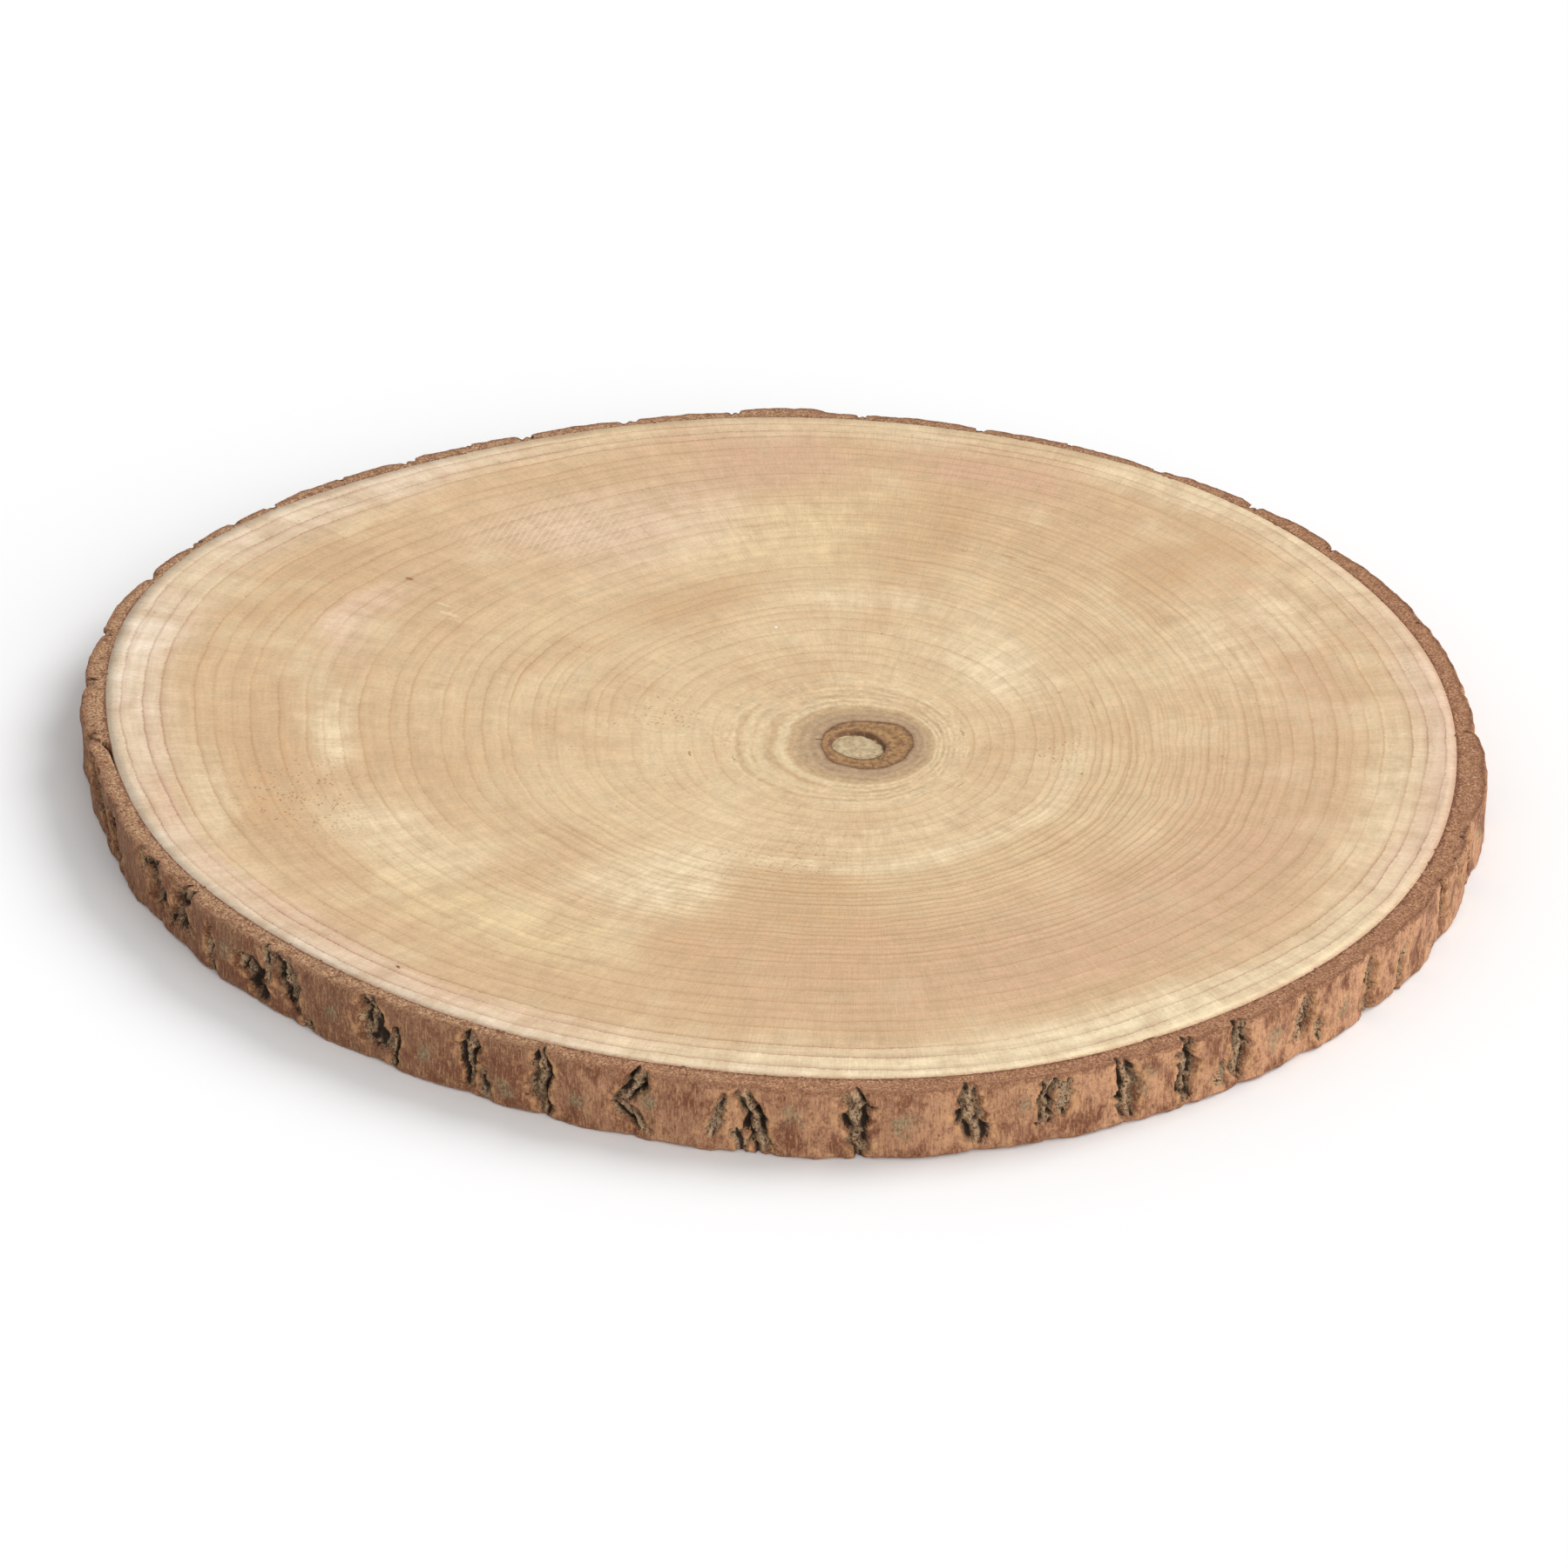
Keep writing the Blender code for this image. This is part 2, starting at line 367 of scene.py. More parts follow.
def grid_mesh(
    name: str,
    rows: np.ndarray,
    poles: tuple[np.ndarray, np.ndarray] | None,
    attributes: dict[str, np.ndarray],
) -> bpy.types.Object:
    """Makes a closed mesh from rings of points.

    Each ring closes on itself. With two poles the rings run from one to the other, and without them
    the last ring is joined to the first one, as on a tyre. A quad spans each pair of neighbours on two
    rings in a row, and a triangle spans a pole and each pair on the ring beside it.

    Args:
        name: The object's name.
        rows: Rings by columns by three coordinates, in millimetres.
        poles: The first and last point, or None.
        attributes: For each name, rings by columns of numbers, or of vectors of three.

    Returns:
        The new object, in the scene.
    """
    ring_count, columns = rows.shape[:2]
    first = 0 if poles is None else 1
    points = rows.reshape(-1, 3)
    if poles is not None:
        points = np.concatenate([poles[0][None], points, poles[1][None]])
    index = np.arange(ring_count * columns).reshape(ring_count, columns) + first
    if poles is None:
        index = np.concatenate([index, index[:1]])
    after = np.roll(index, -1, axis=1)
    quads = np.stack([index[:-1], index[1:], after[1:], after[:-1]], axis=-1).reshape(-1, 4)
    faces = quads.tolist()
    if poles is not None:
        top = np.stack([np.zeros(columns, int), index[0], after[0]], axis=-1)
        end = np.stack([np.full(columns, len(points) - 1), after[-1], index[-1]], axis=-1)
        faces += top.tolist() + end.tolist()
    mesh = bpy.data.meshes.new(name)
    mesh.from_pydata((points * MM).tolist(), [], faces)
    for key, values in attributes.items():
        kind, field = ("FLOAT", "value") if values.ndim == 2 else ("FLOAT_VECTOR", "vector")
        flat = values.reshape(ring_count * columns, -1)
        if poles is not None:
            flat = np.concatenate([flat[:columns].mean(0)[None], flat, flat[-columns:].mean(0)[None]])
        layer = mesh.attributes.new(key, kind, "POINT")
        layer.data.foreach_set(field, flat.astype(np.float32).ravel())
    mesh.shade_smooth()
    mesh.update()
    made = bpy.data.objects.new(name, mesh)
    bpy.context.scene.collection.objects.link(made)
    return made


class Tint(Enum):
    """The tones that lie over the wood in soft patches. Each value is the name of its mesh attribute."""

    CREAM = "tint_cream"
    PALE = "tint_pale"
    YELLOW = "tint_yellow"
    PINK = "tint_pink"
    TAN = "tint_tan"
    ROSE = "tint_rose"


class Detail(Enum):
    """The fine details that show in patches of the wood. Each value is the name of its attribute."""

    FINE_LINES = "detail_lines"
    CHATTER = "detail_chatter"
    PORES = "detail_pores"


class Patch(NamedTuple):
    """A soft patch of a tint or detail, between two angles in degrees and two shares of the growth."""

    layer: Tint | Detail
    turn_from: float
    turn_to: float
    reach_from: float
    reach_to: float
    strength: float


class Mark(NamedTuple):
    """A small mark on the top face: its angle, its share of the growth, its sizes and its colour."""

    turn: float
    reach: float
    length: float  # along the rings
    width: float  # across them
    colour: Colour
    strength: float


@dataclass(frozen=True)
class WoodFinish:
    """The bare sawn wood: colours, year lines, fibres, patches and marks."""

    base: Colour = (221, 192, 151)
    outer: Colour = (213, 180, 140)
    tints: tuple[tuple[Tint, Colour], ...] = (
        (Tint.TAN, (206, 168, 126)),
        (Tint.ROSE, (212, 172, 140)),
        (Tint.YELLOW, (230, 205, 158)),
        (Tint.PINK, (228, 198, 174)),
        (Tint.CREAM, (238, 218, 180)),
        (Tint.PALE, (240, 223, 201)),
    )
    warm_wash: Colour = (211, 178, 138)
    pale_wash: Colour = (227, 202, 162)
    year_tone: Colour = (174, 124, 70)
    outer_year_tone: Colour = (158, 100, 82)
    pore: Colour = (150, 92, 62)
    bark_side: Colour = (188, 142, 108)
    fuzzy_side: Direction = (0.5, -0.87, 0.0)
    fine_line_pitch: float = 2.75
    chatter_pitch: float = 2.1
    chatter_slope: float = -1.8
    # Each year line: how far out it lies, and how strong it is
    year_lines: tuple[tuple[float, float], ...] = (
        (39.5, 0.60), (45.0, 0.45), (49.5, 0.45), (53.3, 0.50), (60.7, 0.55), (66.8, 0.40),
        (70.1, 0.55), (73.1, 0.45), (80.6, 0.50), (82.8, 0.45), (86.2, 0.60), (92.4, 0.90),
        (94.8, 0.40), (99.4, 0.60), (104.2, 0.55), (110.0, 0.50), (118.5, 0.55), (123.0, 0.50),
        (130.5, 0.60), (135.5, 0.50), (139.8, 0.40), (144.0, 0.55), (150.7, 0.70), (157.6, 0.70),
        (162.0, 0.40), (166.5, 0.50), (171.0, 0.75), (179.3, 1.00), (183.8, 0.95), (189.4, 0.90),
    )
    line_width: float = 0.42
    line_skirt: float = 1.8
    inner_shade: float = 0.28
    lines_in_a_ramp: int = 7
    # The heart: how far out each tone lies
    heart: tuple[tuple[float, Colour], ...] = (
        (0.0, (198, 176, 140)),
        (6.2, (196, 173, 137)),
        # The brown ring's dark inner edge and painted shade on the hollow's wall, at 7.0 to 7.9 mm
        (7.0, (140, 106, 76)),
        (7.9, (112, 80, 55)),
        (8.7, (150, 112, 76)),
        (9.8, (176, 136, 90)),
        (10.8, (154, 114, 74)),
        (12.2, (170, 130, 86)),
        (13.4, (140, 102, 66)),
        (13.8, (104, 74, 52)),
        (14.2, (164, 134, 104)),
        (15.4, (184, 153, 120)),
        (17.0, (176, 146, 112)),
        (18.2, (192, 162, 127)),
        (19.6, (184, 154, 117)),
        (20.8, (198, 168, 129)),
        (22.0, (199, 168, 127)),
        (23.4, (225, 201, 160)),
        (24.6, (206, 177, 138)),
        (25.5, (226, 201, 160)),
        (27.2, (200, 169, 130)),
        (28.4, (222, 196, 155)),
        (29.8, (209, 179, 139)),
        (31.0, (224, 199, 158)),
        (32.4, (203, 172, 132)),
        (33.6, (227, 202, 162)),
        (37.0, (221, 193, 152)),
    )
    # Broad bands on the heart's left: where each begins and ends, its colour and its strength
    crescents: tuple[tuple[float, float, Colour, float], ...] = (
        (22.9, 24.8, (230, 207, 167), 0.55),
        (25.1, 26.4, (190, 154, 110), 0.55),
        (27.0, 29.4, (230, 206, 165), 0.45),
        (29.9, 32.3, (229, 204, 163), 0.35),
        (32.7, 33.9, (200, 166, 122), 0.55),
    )
    crescent_side: Direction = (-0.95, -0.3, 0.0)
    heart_fade: tuple[float, float] = (33.0, 42.0)
    heart_dark: Colour = (112, 78, 50)
    heart_light: Colour = (190, 146, 98)
    patches: tuple[Patch, ...] = (
        Patch(Tint.CREAM, 22, 56, 0.27, 0.38, 0.7),
        Patch(Tint.CREAM, 58, 96, 0.385, 0.425, 0.5),
        Patch(Tint.YELLOW, 81, 108, 0.475, 0.69, 0.7),
        Patch(Tint.PINK, 95, 127, 0.56, 0.80, 0.45),
        Patch(Tint.TAN, 69, 84, 0.47, 0.75, 0.7),
        Patch(Tint.TAN, 98, 130, 0.40, 0.49, 0.7),
        Patch(Tint.TAN, 33, 46, 0.66, 0.88, 0.9),
        Patch(Tint.ROSE, 62, 80, 0.77, 0.94, 0.9),
        Patch(Tint.ROSE, 87, 102, 0.75, 0.96, 0.9),
        Patch(Tint.CREAM, 19, 28, 0.74, 0.92, 0.5),
        Patch(Tint.PINK, -32, 24, 0.935, 1.04, 0.8),
        Patch(Tint.CREAM, 25, 62, 0.925, 1.04, 0.7),
        Patch(Tint.CREAM, 58, 122, 0.93, 1.04, 0.35),
        Patch(Tint.PALE, 118, 157, 0.93, 1.04, 0.5),
        Patch(Tint.PALE, 155, 184, 0.92, 1.04, 0.7),
        Patch(Tint.CREAM, 173, 190, 0.695, 0.74, 0.7),
        Patch(Tint.PINK, 143, 162, 0.695, 0.765, 0.5),
        Patch(Tint.TAN, 141, 161, 0.77, 0.88, 0.45),
        Patch(Tint.CREAM, 10, 35, 0.645, 0.745, 0.45),
        Patch(Tint.TAN, -8, 12, 0.33, 0.50, 0.35),
        Patch(Tint.ROSE, -4, 30, 0.745, 0.86, 0.45),
        Patch(Tint.CREAM, 233, 252, 0.375, 0.605, 0.8),
        Patch(Tint.CREAM, 238, 350, 0.36, 0.405, 0.6),
        Patch(Tint.CREAM, 253, 333, 0.26, 0.345, 0.3),
        Patch(Tint.TAN, 250, 282, 0.41, 0.84, 0.6),
        Patch(Tint.ROSE, 262, 350, 0.58, 0.87, 0.6),
        Patch(Tint.ROSE, 286, 314, 0.70, 0.86, 0.7),
        Patch(Tint.ROSE, 319, 339, 0.70, 0.82, 0.7),
        Patch(Tint.CREAM, 198, 218, 0.61, 0.755, 0.55),
        Patch(Tint.YELLOW, 216, 245, 0.68, 0.82, 0.7),
        Patch(Tint.TAN, 178, 209, 0.755, 0.865, 0.7),
        Patch(Tint.CREAM, 183, 207, 0.86, 0.92, 0.5),
        Patch(Tint.TAN, 182, 206, 0.41, 0.68, 0.3),
        Patch(Tint.PINK, 180, 260, 0.925, 0.970, 0.6),
        Patch(Tint.PALE, 180, 262, 0.975, 1.04, 0.95),
        Patch(Tint.CREAM, 258, 328, 0.925, 1.04, 0.9),
        Patch(Tint.CREAM, 327, 360, 0.86, 0.935, 0.55),
        Patch(Detail.FINE_LINES, 228, 368, 0.38, 0.72, 1.0),
        Patch(Detail.FINE_LINES, 20, 84, 0.44, 0.70, 0.7),
        Patch(Detail.CHATTER, 112, 131, 0.64, 0.81, 1.0),
        Patch(Detail.PORES, 186, 207, 0.70, 0.86, 0.8),
        Patch(Detail.PORES, 244, 276, 0.30, 0.46, 0.5),
        Patch(Detail.PORES, 338, 356, 0.28, 0.40, 0.7),
        Patch(Detail.PORES, 150, 176, 0.22, 0.30, 0.7),
    )
    marks: tuple[Mark, ...] = (
        Mark(104.0, 0.331, 1.2, 1.8, (250, 250, 246), 0.9),
        Mark(55.5, 0.580, 9.0, 1.1, (186, 142, 84), 0.6),
        Mark(60.5, 0.588, 7.0, 1.3, (186, 142, 84), 0.7),
        Mark(142.9, 0.743, 1.4, 3.4, (160, 96, 62), 0.85),
        Mark(76.8, 0.312, 1.0, 1.2, (158, 122, 84), 0.7),
        Mark(20.8, 0.381, 1.0, 1.4, (166, 130, 88), 0.6),
        Mark(13.3, 0.426, 6.0, 1.0, (182, 140, 84), 0.6),
        Mark(7.9, 0.184, 4.0, 0.9, (150, 124, 92), 0.6),
        Mark(190.7, 0.240, 3.2, 0.9, (150, 118, 82), 0.7),
        Mark(342.5, 0.400, 1.0, 1.3, (122, 88, 56), 0.8),
        Mark(232.3, 0.937, 1.6, 1.2, (104, 62, 44), 0.85),
        Mark(172.0, 0.077, 0.7, 2.6, (64, 44, 34), 0.9),
        Mark(197.0, 0.180, 4.0, 0.8, (160, 128, 90), 0.6),
        Mark(322.9, 0.214, 5.0, 0.8, (170, 132, 84), 0.55),
        Mark(147.3, 0.640, 1.6, 9.0, (236, 214, 170), 0.6),
        Mark(145.6, 0.660, 1.2, 6.0, (236, 214, 170), 0.5),
    )


class WoodFields(NamedTuple):
    """The sockets of the fields that the wood's colours read."""

    turn: Socket
    growth: Socket
    waver: Socket  # broad noise over the plane
    fibre: Socket  # fine rays
    streak: Socket  # fine streaks along the rings
    band: Socket  # broader bands along them
    ray: Socket  # broad rays
    cloud: Socket  # noise of 6 mm over the plane
    grain: Socket  # noise of 0.9 mm
    mottle: Socket  # noise of 1.5 mm, for the heart


@dataclass(frozen=True)
class Wood:
    """The sawn wood: a disc with its growth rings, and the pith's hollow in its top face."""

    outline: Outline = OUTLINE
    finish: WoodFinish = WoodFinish()
    pith: tuple[float, float] = (23.2, -15.9)
    ring_middle: tuple[float, float] = (25.6, -14.5)
    plug_reach: float = 7.7
    plug_waves: Waves = ((1, 1.0, 86.0), (2, 0.8, 130.0))
    hollow_depth: float = 1.2
    hollow_wall: tuple[float, float] = (7.3, 7.9)
    hollow_rings: tuple[float, ...] = (2.5, 5.0, 6.6, 7.3, 7.7, 7.9, 8.2, 8.8)
    least_ring_gap: float = 0.4
    heart_reach: float = 13.8
    heart_oval: float = 0.035
    star_from: float = 14.0
    star_to: float = 34.0
    full_growth: float = 193.6
    # How far the rings depart from the outline's own shape, half way out and nearer to both ends
    middle_waves: Waves = ((1, 3.5, -79.5), (2, 3.8, -20.0), (3, 1.9, 30.3))
    end_waves: Waves = ((1, 2.3, 94.3), (2, 1.2, 49.8), (3, 1.1, -38.3), (4, 0.5, -18.0))
    wander: tuple[tuple[float, float], ...] = ((60.0, 1.3), (24.0, 0.5))
    heart_wobble: float = 0.7
    columns: int = 720
    top_rings: int = 84
    under_rings: int = 36
    edge_round: float = 0.15
    heart_grit: float = 0.02

    def star(self, turn: np.ndarray, reach: np.ndarray) -> np.ndarray:
        """Places points by their angle and their growth, on curves that turn from ovals to the edge.

        Formula: each point lies from a middle towards the wood's edge at its angle. Near the pith the
        middle slides from the plug's to the brown ring's, and the distance is the growth, with a small
        oval. Past the heart the distance is the growth's share of the way from the pith to the edge.

        Args:
            turn: Angles in radians about the outline's centre.
            reach: Growth from the pith, in millimetres.

        Returns:
            An array with x and y at its end.
        """
        edge = self.outline.place(turn, self.outline.wood_edge(turn), 0.0)[..., :2]
        spoke = edge - np.array(self.pith)
        length = np.hypot(spoke[..., 0], spoke[..., 1])
        toward = spoke / length[..., None]
        angle = np.arctan2(toward[..., 1], toward[..., 0])
        slide = smooth_step(reach, self.plug_reach, self.heart_reach)
        back = smooth_step(reach, self.heart_reach, self.star_to)
        shift = (np.array(self.ring_middle) - np.array(self.pith)) * (slide * (1.0 - back))[..., None]
        plug = waves_at(angle, self.plug_waves) * smooth_step(reach, 0.0, self.plug_reach) * (1.0 - slide)
        oval = 1.0 - self.heart_oval * np.cos(2.0 * angle) * slide
        near = reach * oval + plug
        share = smooth_step(reach, self.star_from, self.star_to)
        distance = near * (1.0 - share) + reach * length / self.full_growth * share
        return np.array(self.pith) + shift + toward * distance[..., None]

    def growth(self, turn: np.ndarray, reach: np.ndarray, place: np.ndarray) -> np.ndarray:
        """Gives the growth at each point, whose level lines are the rings.

        Formula: the reach, plus waves that swell half way out, plus waves that swell nearer to both
        ends, plus noise. All of them fade out in the heart, where a finer noise takes their place.

        Args:
            turn: Angles in radians about the outline's centre.
            reach: Distances from the pith, in millimetres of growth.
            place: The points' x and y.

        Returns:
            The growth in millimetres.
        """
        share = reach / self.full_growth
        swell = np.sin(np.pi * share) * waves_at(turn, self.middle_waves)
        swell += np.sin(2.0 * np.pi * share) * waves_at(turn, self.end_waves)
        x, y = place[..., 0], place[..., 1]
        for number, (feature, height) in enumerate(self.wander):
            swell += height * plane_noise(x, y, feature, 40 + number)
        wobble = self.heart_wobble * (plane_noise(x, y, 9.0, 44) + 0.5 * plane_noise(x, y, 4.0, 45))
        wobble *= smooth_step(reach, self.plug_reach, self.heart_reach)
        share_out = smooth_step(reach, self.star_from, self.star_to)
        return reach + swell * share_out + wobble * (1.0 - share_out)

    def spot(self, turn: float, share: float) -> tuple[float, float]:
        """Finds the point at an angle and a share of the growth.

        Args:
            turn: The angle in degrees.
            share: The share of the full growth.

        Returns:
            The point's x and y.
        """
        angle = np.array([np.radians(turn)])
        wanted = share * self.full_growth
        reach = np.array([wanted])
        for _ in range(4):
            place = self.star(angle, reach)
            reach = reach + wanted - self.growth(angle, reach, place)
        place = self.star(angle, reach)[0]
        return float(place[0]), float(place[1])

    def tint_fields(self, turn: np.ndarray, growth: np.ndarray, place: np.ndarray) -> dict[str, np.ndarray]:
        """Lays out the soft patches of each tint.

        Formula: a patch is its strength times the exponential of minus the third powers of the shares
        of its half widths, by angle and by growth, at a point that noise has moved a little. The
        patches of one tint are joined by taking the greatest.

        Args:
            turn: Angles in radians.
            growth: Growth in millimetres.
            place: The points' x and y.

        Returns:
            A field from nought to one for each tint's attribute.
        """
        x, y = place[..., 0], place[..., 1]
        moved_turn = turn + np.radians(4.0) * plane_noise(x, y, 24.0, 51)
        moved_turn += np.radians(1.6) * plane_noise(x, y, 9.0, 53)
        moved_share = growth / self.full_growth + 0.022 * plane_noise(x, y, 30.0, 52)
        moved_share += 0.008 * plane_noise(x, y, 10.0, 54)
        fields = {layer.value: np.zeros_like(growth) for layer in (*Tint, *Detail)}
        for patch in self.finish.patches:
            middle = np.radians((patch.turn_from + patch.turn_to) / 2.0)
            half_turn = np.radians((patch.turn_to - patch.turn_from) / 2.0)
            half_reach = (patch.reach_to - patch.reach_from) / 2.0
            along = turn_between(moved_turn, middle) / half_turn
            out = (moved_share - (patch.reach_from + patch.reach_to) / 2.0) / half_reach
            field = patch.strength * np.exp(-0.8 * np.abs(along) ** 3 - 0.8 * np.abs(out) ** 3)
            fields[patch.layer.value] = np.maximum(fields[patch.layer.value], field)
        return fields

    def build(self) -> bpy.types.Object:
        """Makes the wood's mesh: rings out over the top face, down the edge and in underneath.

        Returns:
            The finished piece.
        """
        thickness = self.outline.thickness
        turn = np.arange(self.columns) / self.columns * FULL_TURN
        out = np.linspace(0.0, 1.0, self.top_rings + 1)[1:]
        reach_top = self.full_growth * (0.25 * out + 0.75 * out**1.6)
        hollow_end = self.hollow_rings[-1]
        reach_top = reach_top[reach_top > hollow_end + self.least_ring_gap]
        reach_top = np.concatenate([self.hollow_rings, reach_top])
        reach_under = np.linspace(self.full_growth, 0.0, self.under_rings + 1)[:-1]
        reach = np.concatenate([reach_top, reach_under])
        top = len(reach_top)
        turn_grid, reach_grid = np.meshgrid(turn, reach)
        place = self.star(turn_grid, reach_grid)
        height = thickness - self.hollow_depth * (1.0 - smooth_step(reach_grid, *self.hollow_wall))
        grit = 1.0 + plane_noise(place[..., 0], place[..., 1], 2.2, 60)
        height -= self.heart_grit * grit * (1.0 - smooth_step(reach_grid, hollow_end, self.heart_reach))
        height[top:] = 0.0
        height[top - 1] -= self.edge_round
        height[top] += self.edge_round
        growth = self.growth(turn_grid, reach_grid, place)
        rows = np.concatenate([place, height[..., None]], axis=-1)
        middle = np.array([*self.pith, 0.0])
        poles = (middle + [0.0, 0.0, thickness - self.hollow_depth], middle)
        direction = np.stack([np.cos(turn_grid), np.sin(turn_grid), np.zeros_like(turn_grid)], axis=-1)
        attributes = {"growth": growth, "turn": direction, "rim": reach_grid / self.full_growth}
        attributes.update(self.tint_fields(turn_grid, growth, place))
        made = grid_mesh("slice_wood", rows, poles, attributes)
        made.data.materials.append(self.material())
        return made

    def year_lines(self, recipe: Recipe, growth: Socket) -> Socket:
        """Adds up the year lines: narrow peaks of darkness, sharp outside and soft inside.

        Args:
            recipe: The material's recipe.
            growth: The socket of the growth.

        Returns:
            The socket of the darkness, from nought to one.
        """
        finish = self.finish
        total = None
        lines = finish.year_lines
        for start in range(0, len(lines), finish.lines_in_a_ramp):
            group = lines[start : start + finish.lines_in_a_ramp]
            low = group[0][0] - 2.0 * finish.line_skirt
            high = group[-1][0] + 2.0 * finish.line_skirt
            stops = []
            before = low
            for reach, strength in group:
                skirt = max(reach - finish.line_skirt, before + 1.1 * finish.line_width)
                before = reach
                stops.append((skirt, 0.0))
                stops.append((reach - finish.line_width, finish.inner_shade * strength))
                stops.append((reach, strength))
                stops.append((reach + finish.line_width, 0.0))
            grey = [((reach - low) / (high - low), (value, value, value, 1.0)) for reach, value in stops]
            share = recipe.maths("DIVIDE", recipe.maths("SUBTRACT", growth, low), high - low)
            found = recipe.ramp(share, grey)
            total = found if total is None else recipe.maths("ADD", total, found)
        return total

    def on_rings(self, recipe: Recipe, turn: Socket, growth: Socket, breadth: float, count: float) -> Socket:
        """Gives a place for noise that follows the rings.

        Args:
            recipe: The material's recipe.
            turn: The unit vector that points out from the middle.
            growth: The socket of the growth.
            breadth: How broad a feature is across the rings, in millimetres.
            count: How many features lie along a radius of the circle that the turn makes.

        Returns:
            The place's socket.
        """
        round_turn = recipe.node("VectorMath", {0: turn, "Scale": count}, operation="SCALE").outputs[0]
        rise = recipe.node("CombineXYZ", {"Z": recipe.maths("DIVIDE", growth, breadth)}).outputs[0]
        return recipe.node("VectorMath", {0: round_turn, 1: rise}, operation="ADD").outputs[0]

    def streaks(self, recipe: Recipe, turn: Socket, growth: Socket, breadth: float, count: float) -> Socket:
        """Gives rough noise that follows the rings, this broad across them."""
        return recipe.noise(self.on_rings(recipe, turn, growth, breadth, count), 3.0, 0.6)

    def fibres(self, recipe: Recipe, turn: Socket, growth: Socket) -> Socket:
        """Gives the fine rays that run out from the pith: noise drawn out along the growth.

        Args:
            recipe: The material's recipe.
            turn: The unit vector that points out from the middle.
            growth: The socket of the growth.

        Returns:
            The socket of the noise, with fewer rays near the pith than far out.
        """
        near = recipe.noise(self.on_rings(recipe, turn, growth, 5.0, 110.0), 2.0, 0.55)
        far = recipe.noise(self.on_rings(recipe, turn, growth, 9.0, 330.0), 2.0, 0.55)
        share = recipe.span(growth, 50.0, 110.0)
        return recipe.node("Mix", {0: share, 2: near, 3: far}, data_type="FLOAT").outputs[0]

    def fields(self, recipe: Recipe) -> WoodFields:
        """Makes the fields that the colours read: the growth, noise along it and noise over the plane.

        Args:
            recipe: The material's recipe.

        Returns:
            The sockets of the fields.
        """
        turn = recipe.node("Attribute", attribute_name="turn").outputs["Vector"]
        waver = recipe.noise(recipe.space(18.0, 18.0, 60.0), 2.0, 0.5)
        growth = recipe.maths("ADD", recipe.attribute("growth"), recipe.span(waver, 0.2, 0.8, -0.4, 0.4))
        return WoodFields(
            turn=turn,
            growth=growth,
            waver=waver,
            fibre=self.fibres(recipe, turn, growth),
            streak=self.streaks(recipe, turn, growth, 1.0, 12.0),
            band=self.streaks(recipe, turn, growth, 3.6, 3.0),
            ray=self.streaks(recipe, turn, growth, 16.0, 26.0),
            cloud=recipe.noise(recipe.space(6.0, 6.0, 20.0), 4.0, 0.6),
            grain=recipe.noise(recipe.space(0.9, 0.9, 3.0), 3.0, 0.6),
            mottle=recipe.noise(recipe.space(1.5, 1.5, 6.0), 4.0, 0.7),
        )

    def material(self) -> bpy.types.Material:
        """Mixes the wood's material from its growth, its tints, its fibres and its marks.

        Returns:
            The finished material.
        """
        recipe = Recipe("sawn_wood")
        fields = self.fields(recipe)
        colour = self.ground_colour(recipe, fields)
        colour = self.add_year_lines(recipe, fields, colour)
        colour = self.add_fine_lines(recipe, fields, colour)
        colour = self.add_chatter(recipe, fields, colour)
        colour = self.add_heart(recipe, fields, colour)
        colour = self.add_rim(recipe, fields, colour)
        colour = self.add_marks(recipe, colour)
        colour = self.add_pores(recipe, fields, colour)

        rough = recipe.span(fields.fibre, 0.2, 0.8, 0.55, 0.72)
        grit = recipe.noise(recipe.space(0.45, 0.45, 0.45), 2.0, 0.6)
        normal = recipe.bump(fields.fibre, 0.07)
        normal = recipe.bump(grit, 0.05, under=normal)
        return recipe.finish(colour, rough, normal, 0.3)

    def shade(self, recipe: Recipe, colour: Socket, *fields: tuple[Socket, float]) -> Socket:
        """Lightens and darkens a colour by noise fields.

        Args:
            recipe: The material's recipe.
            colour: The colour's socket.
            *fields: For each field its socket, and the share that it adds or takes at most.

        Returns:
            The socket of the shaded colour.
        """
        light = 1.0
        for field, most in fields:
            light = recipe.maths("ADD", recipe.span(field, 0.25, 0.75, -most, most), light)
        grey = recipe.node("CombineColor", {0: light, 1: light, 2: light}).outputs[0]
        return recipe.blend(1.0, colour, grey, "MULTIPLY")

    def dots(self, recipe: Recipe, cell: float, core: float, rim: float) -> Socket:
        """Gives one round dot in each cell of this size: one inside the core, and nought past the rim."""
        cells = recipe.node("TexVoronoi", {"Vector": recipe.space(cell, cell, 3.0 * cell), "Scale": 1.0})
        return recipe.span(cells.outputs["Distance"], core, rim, 1.0, 0.0)

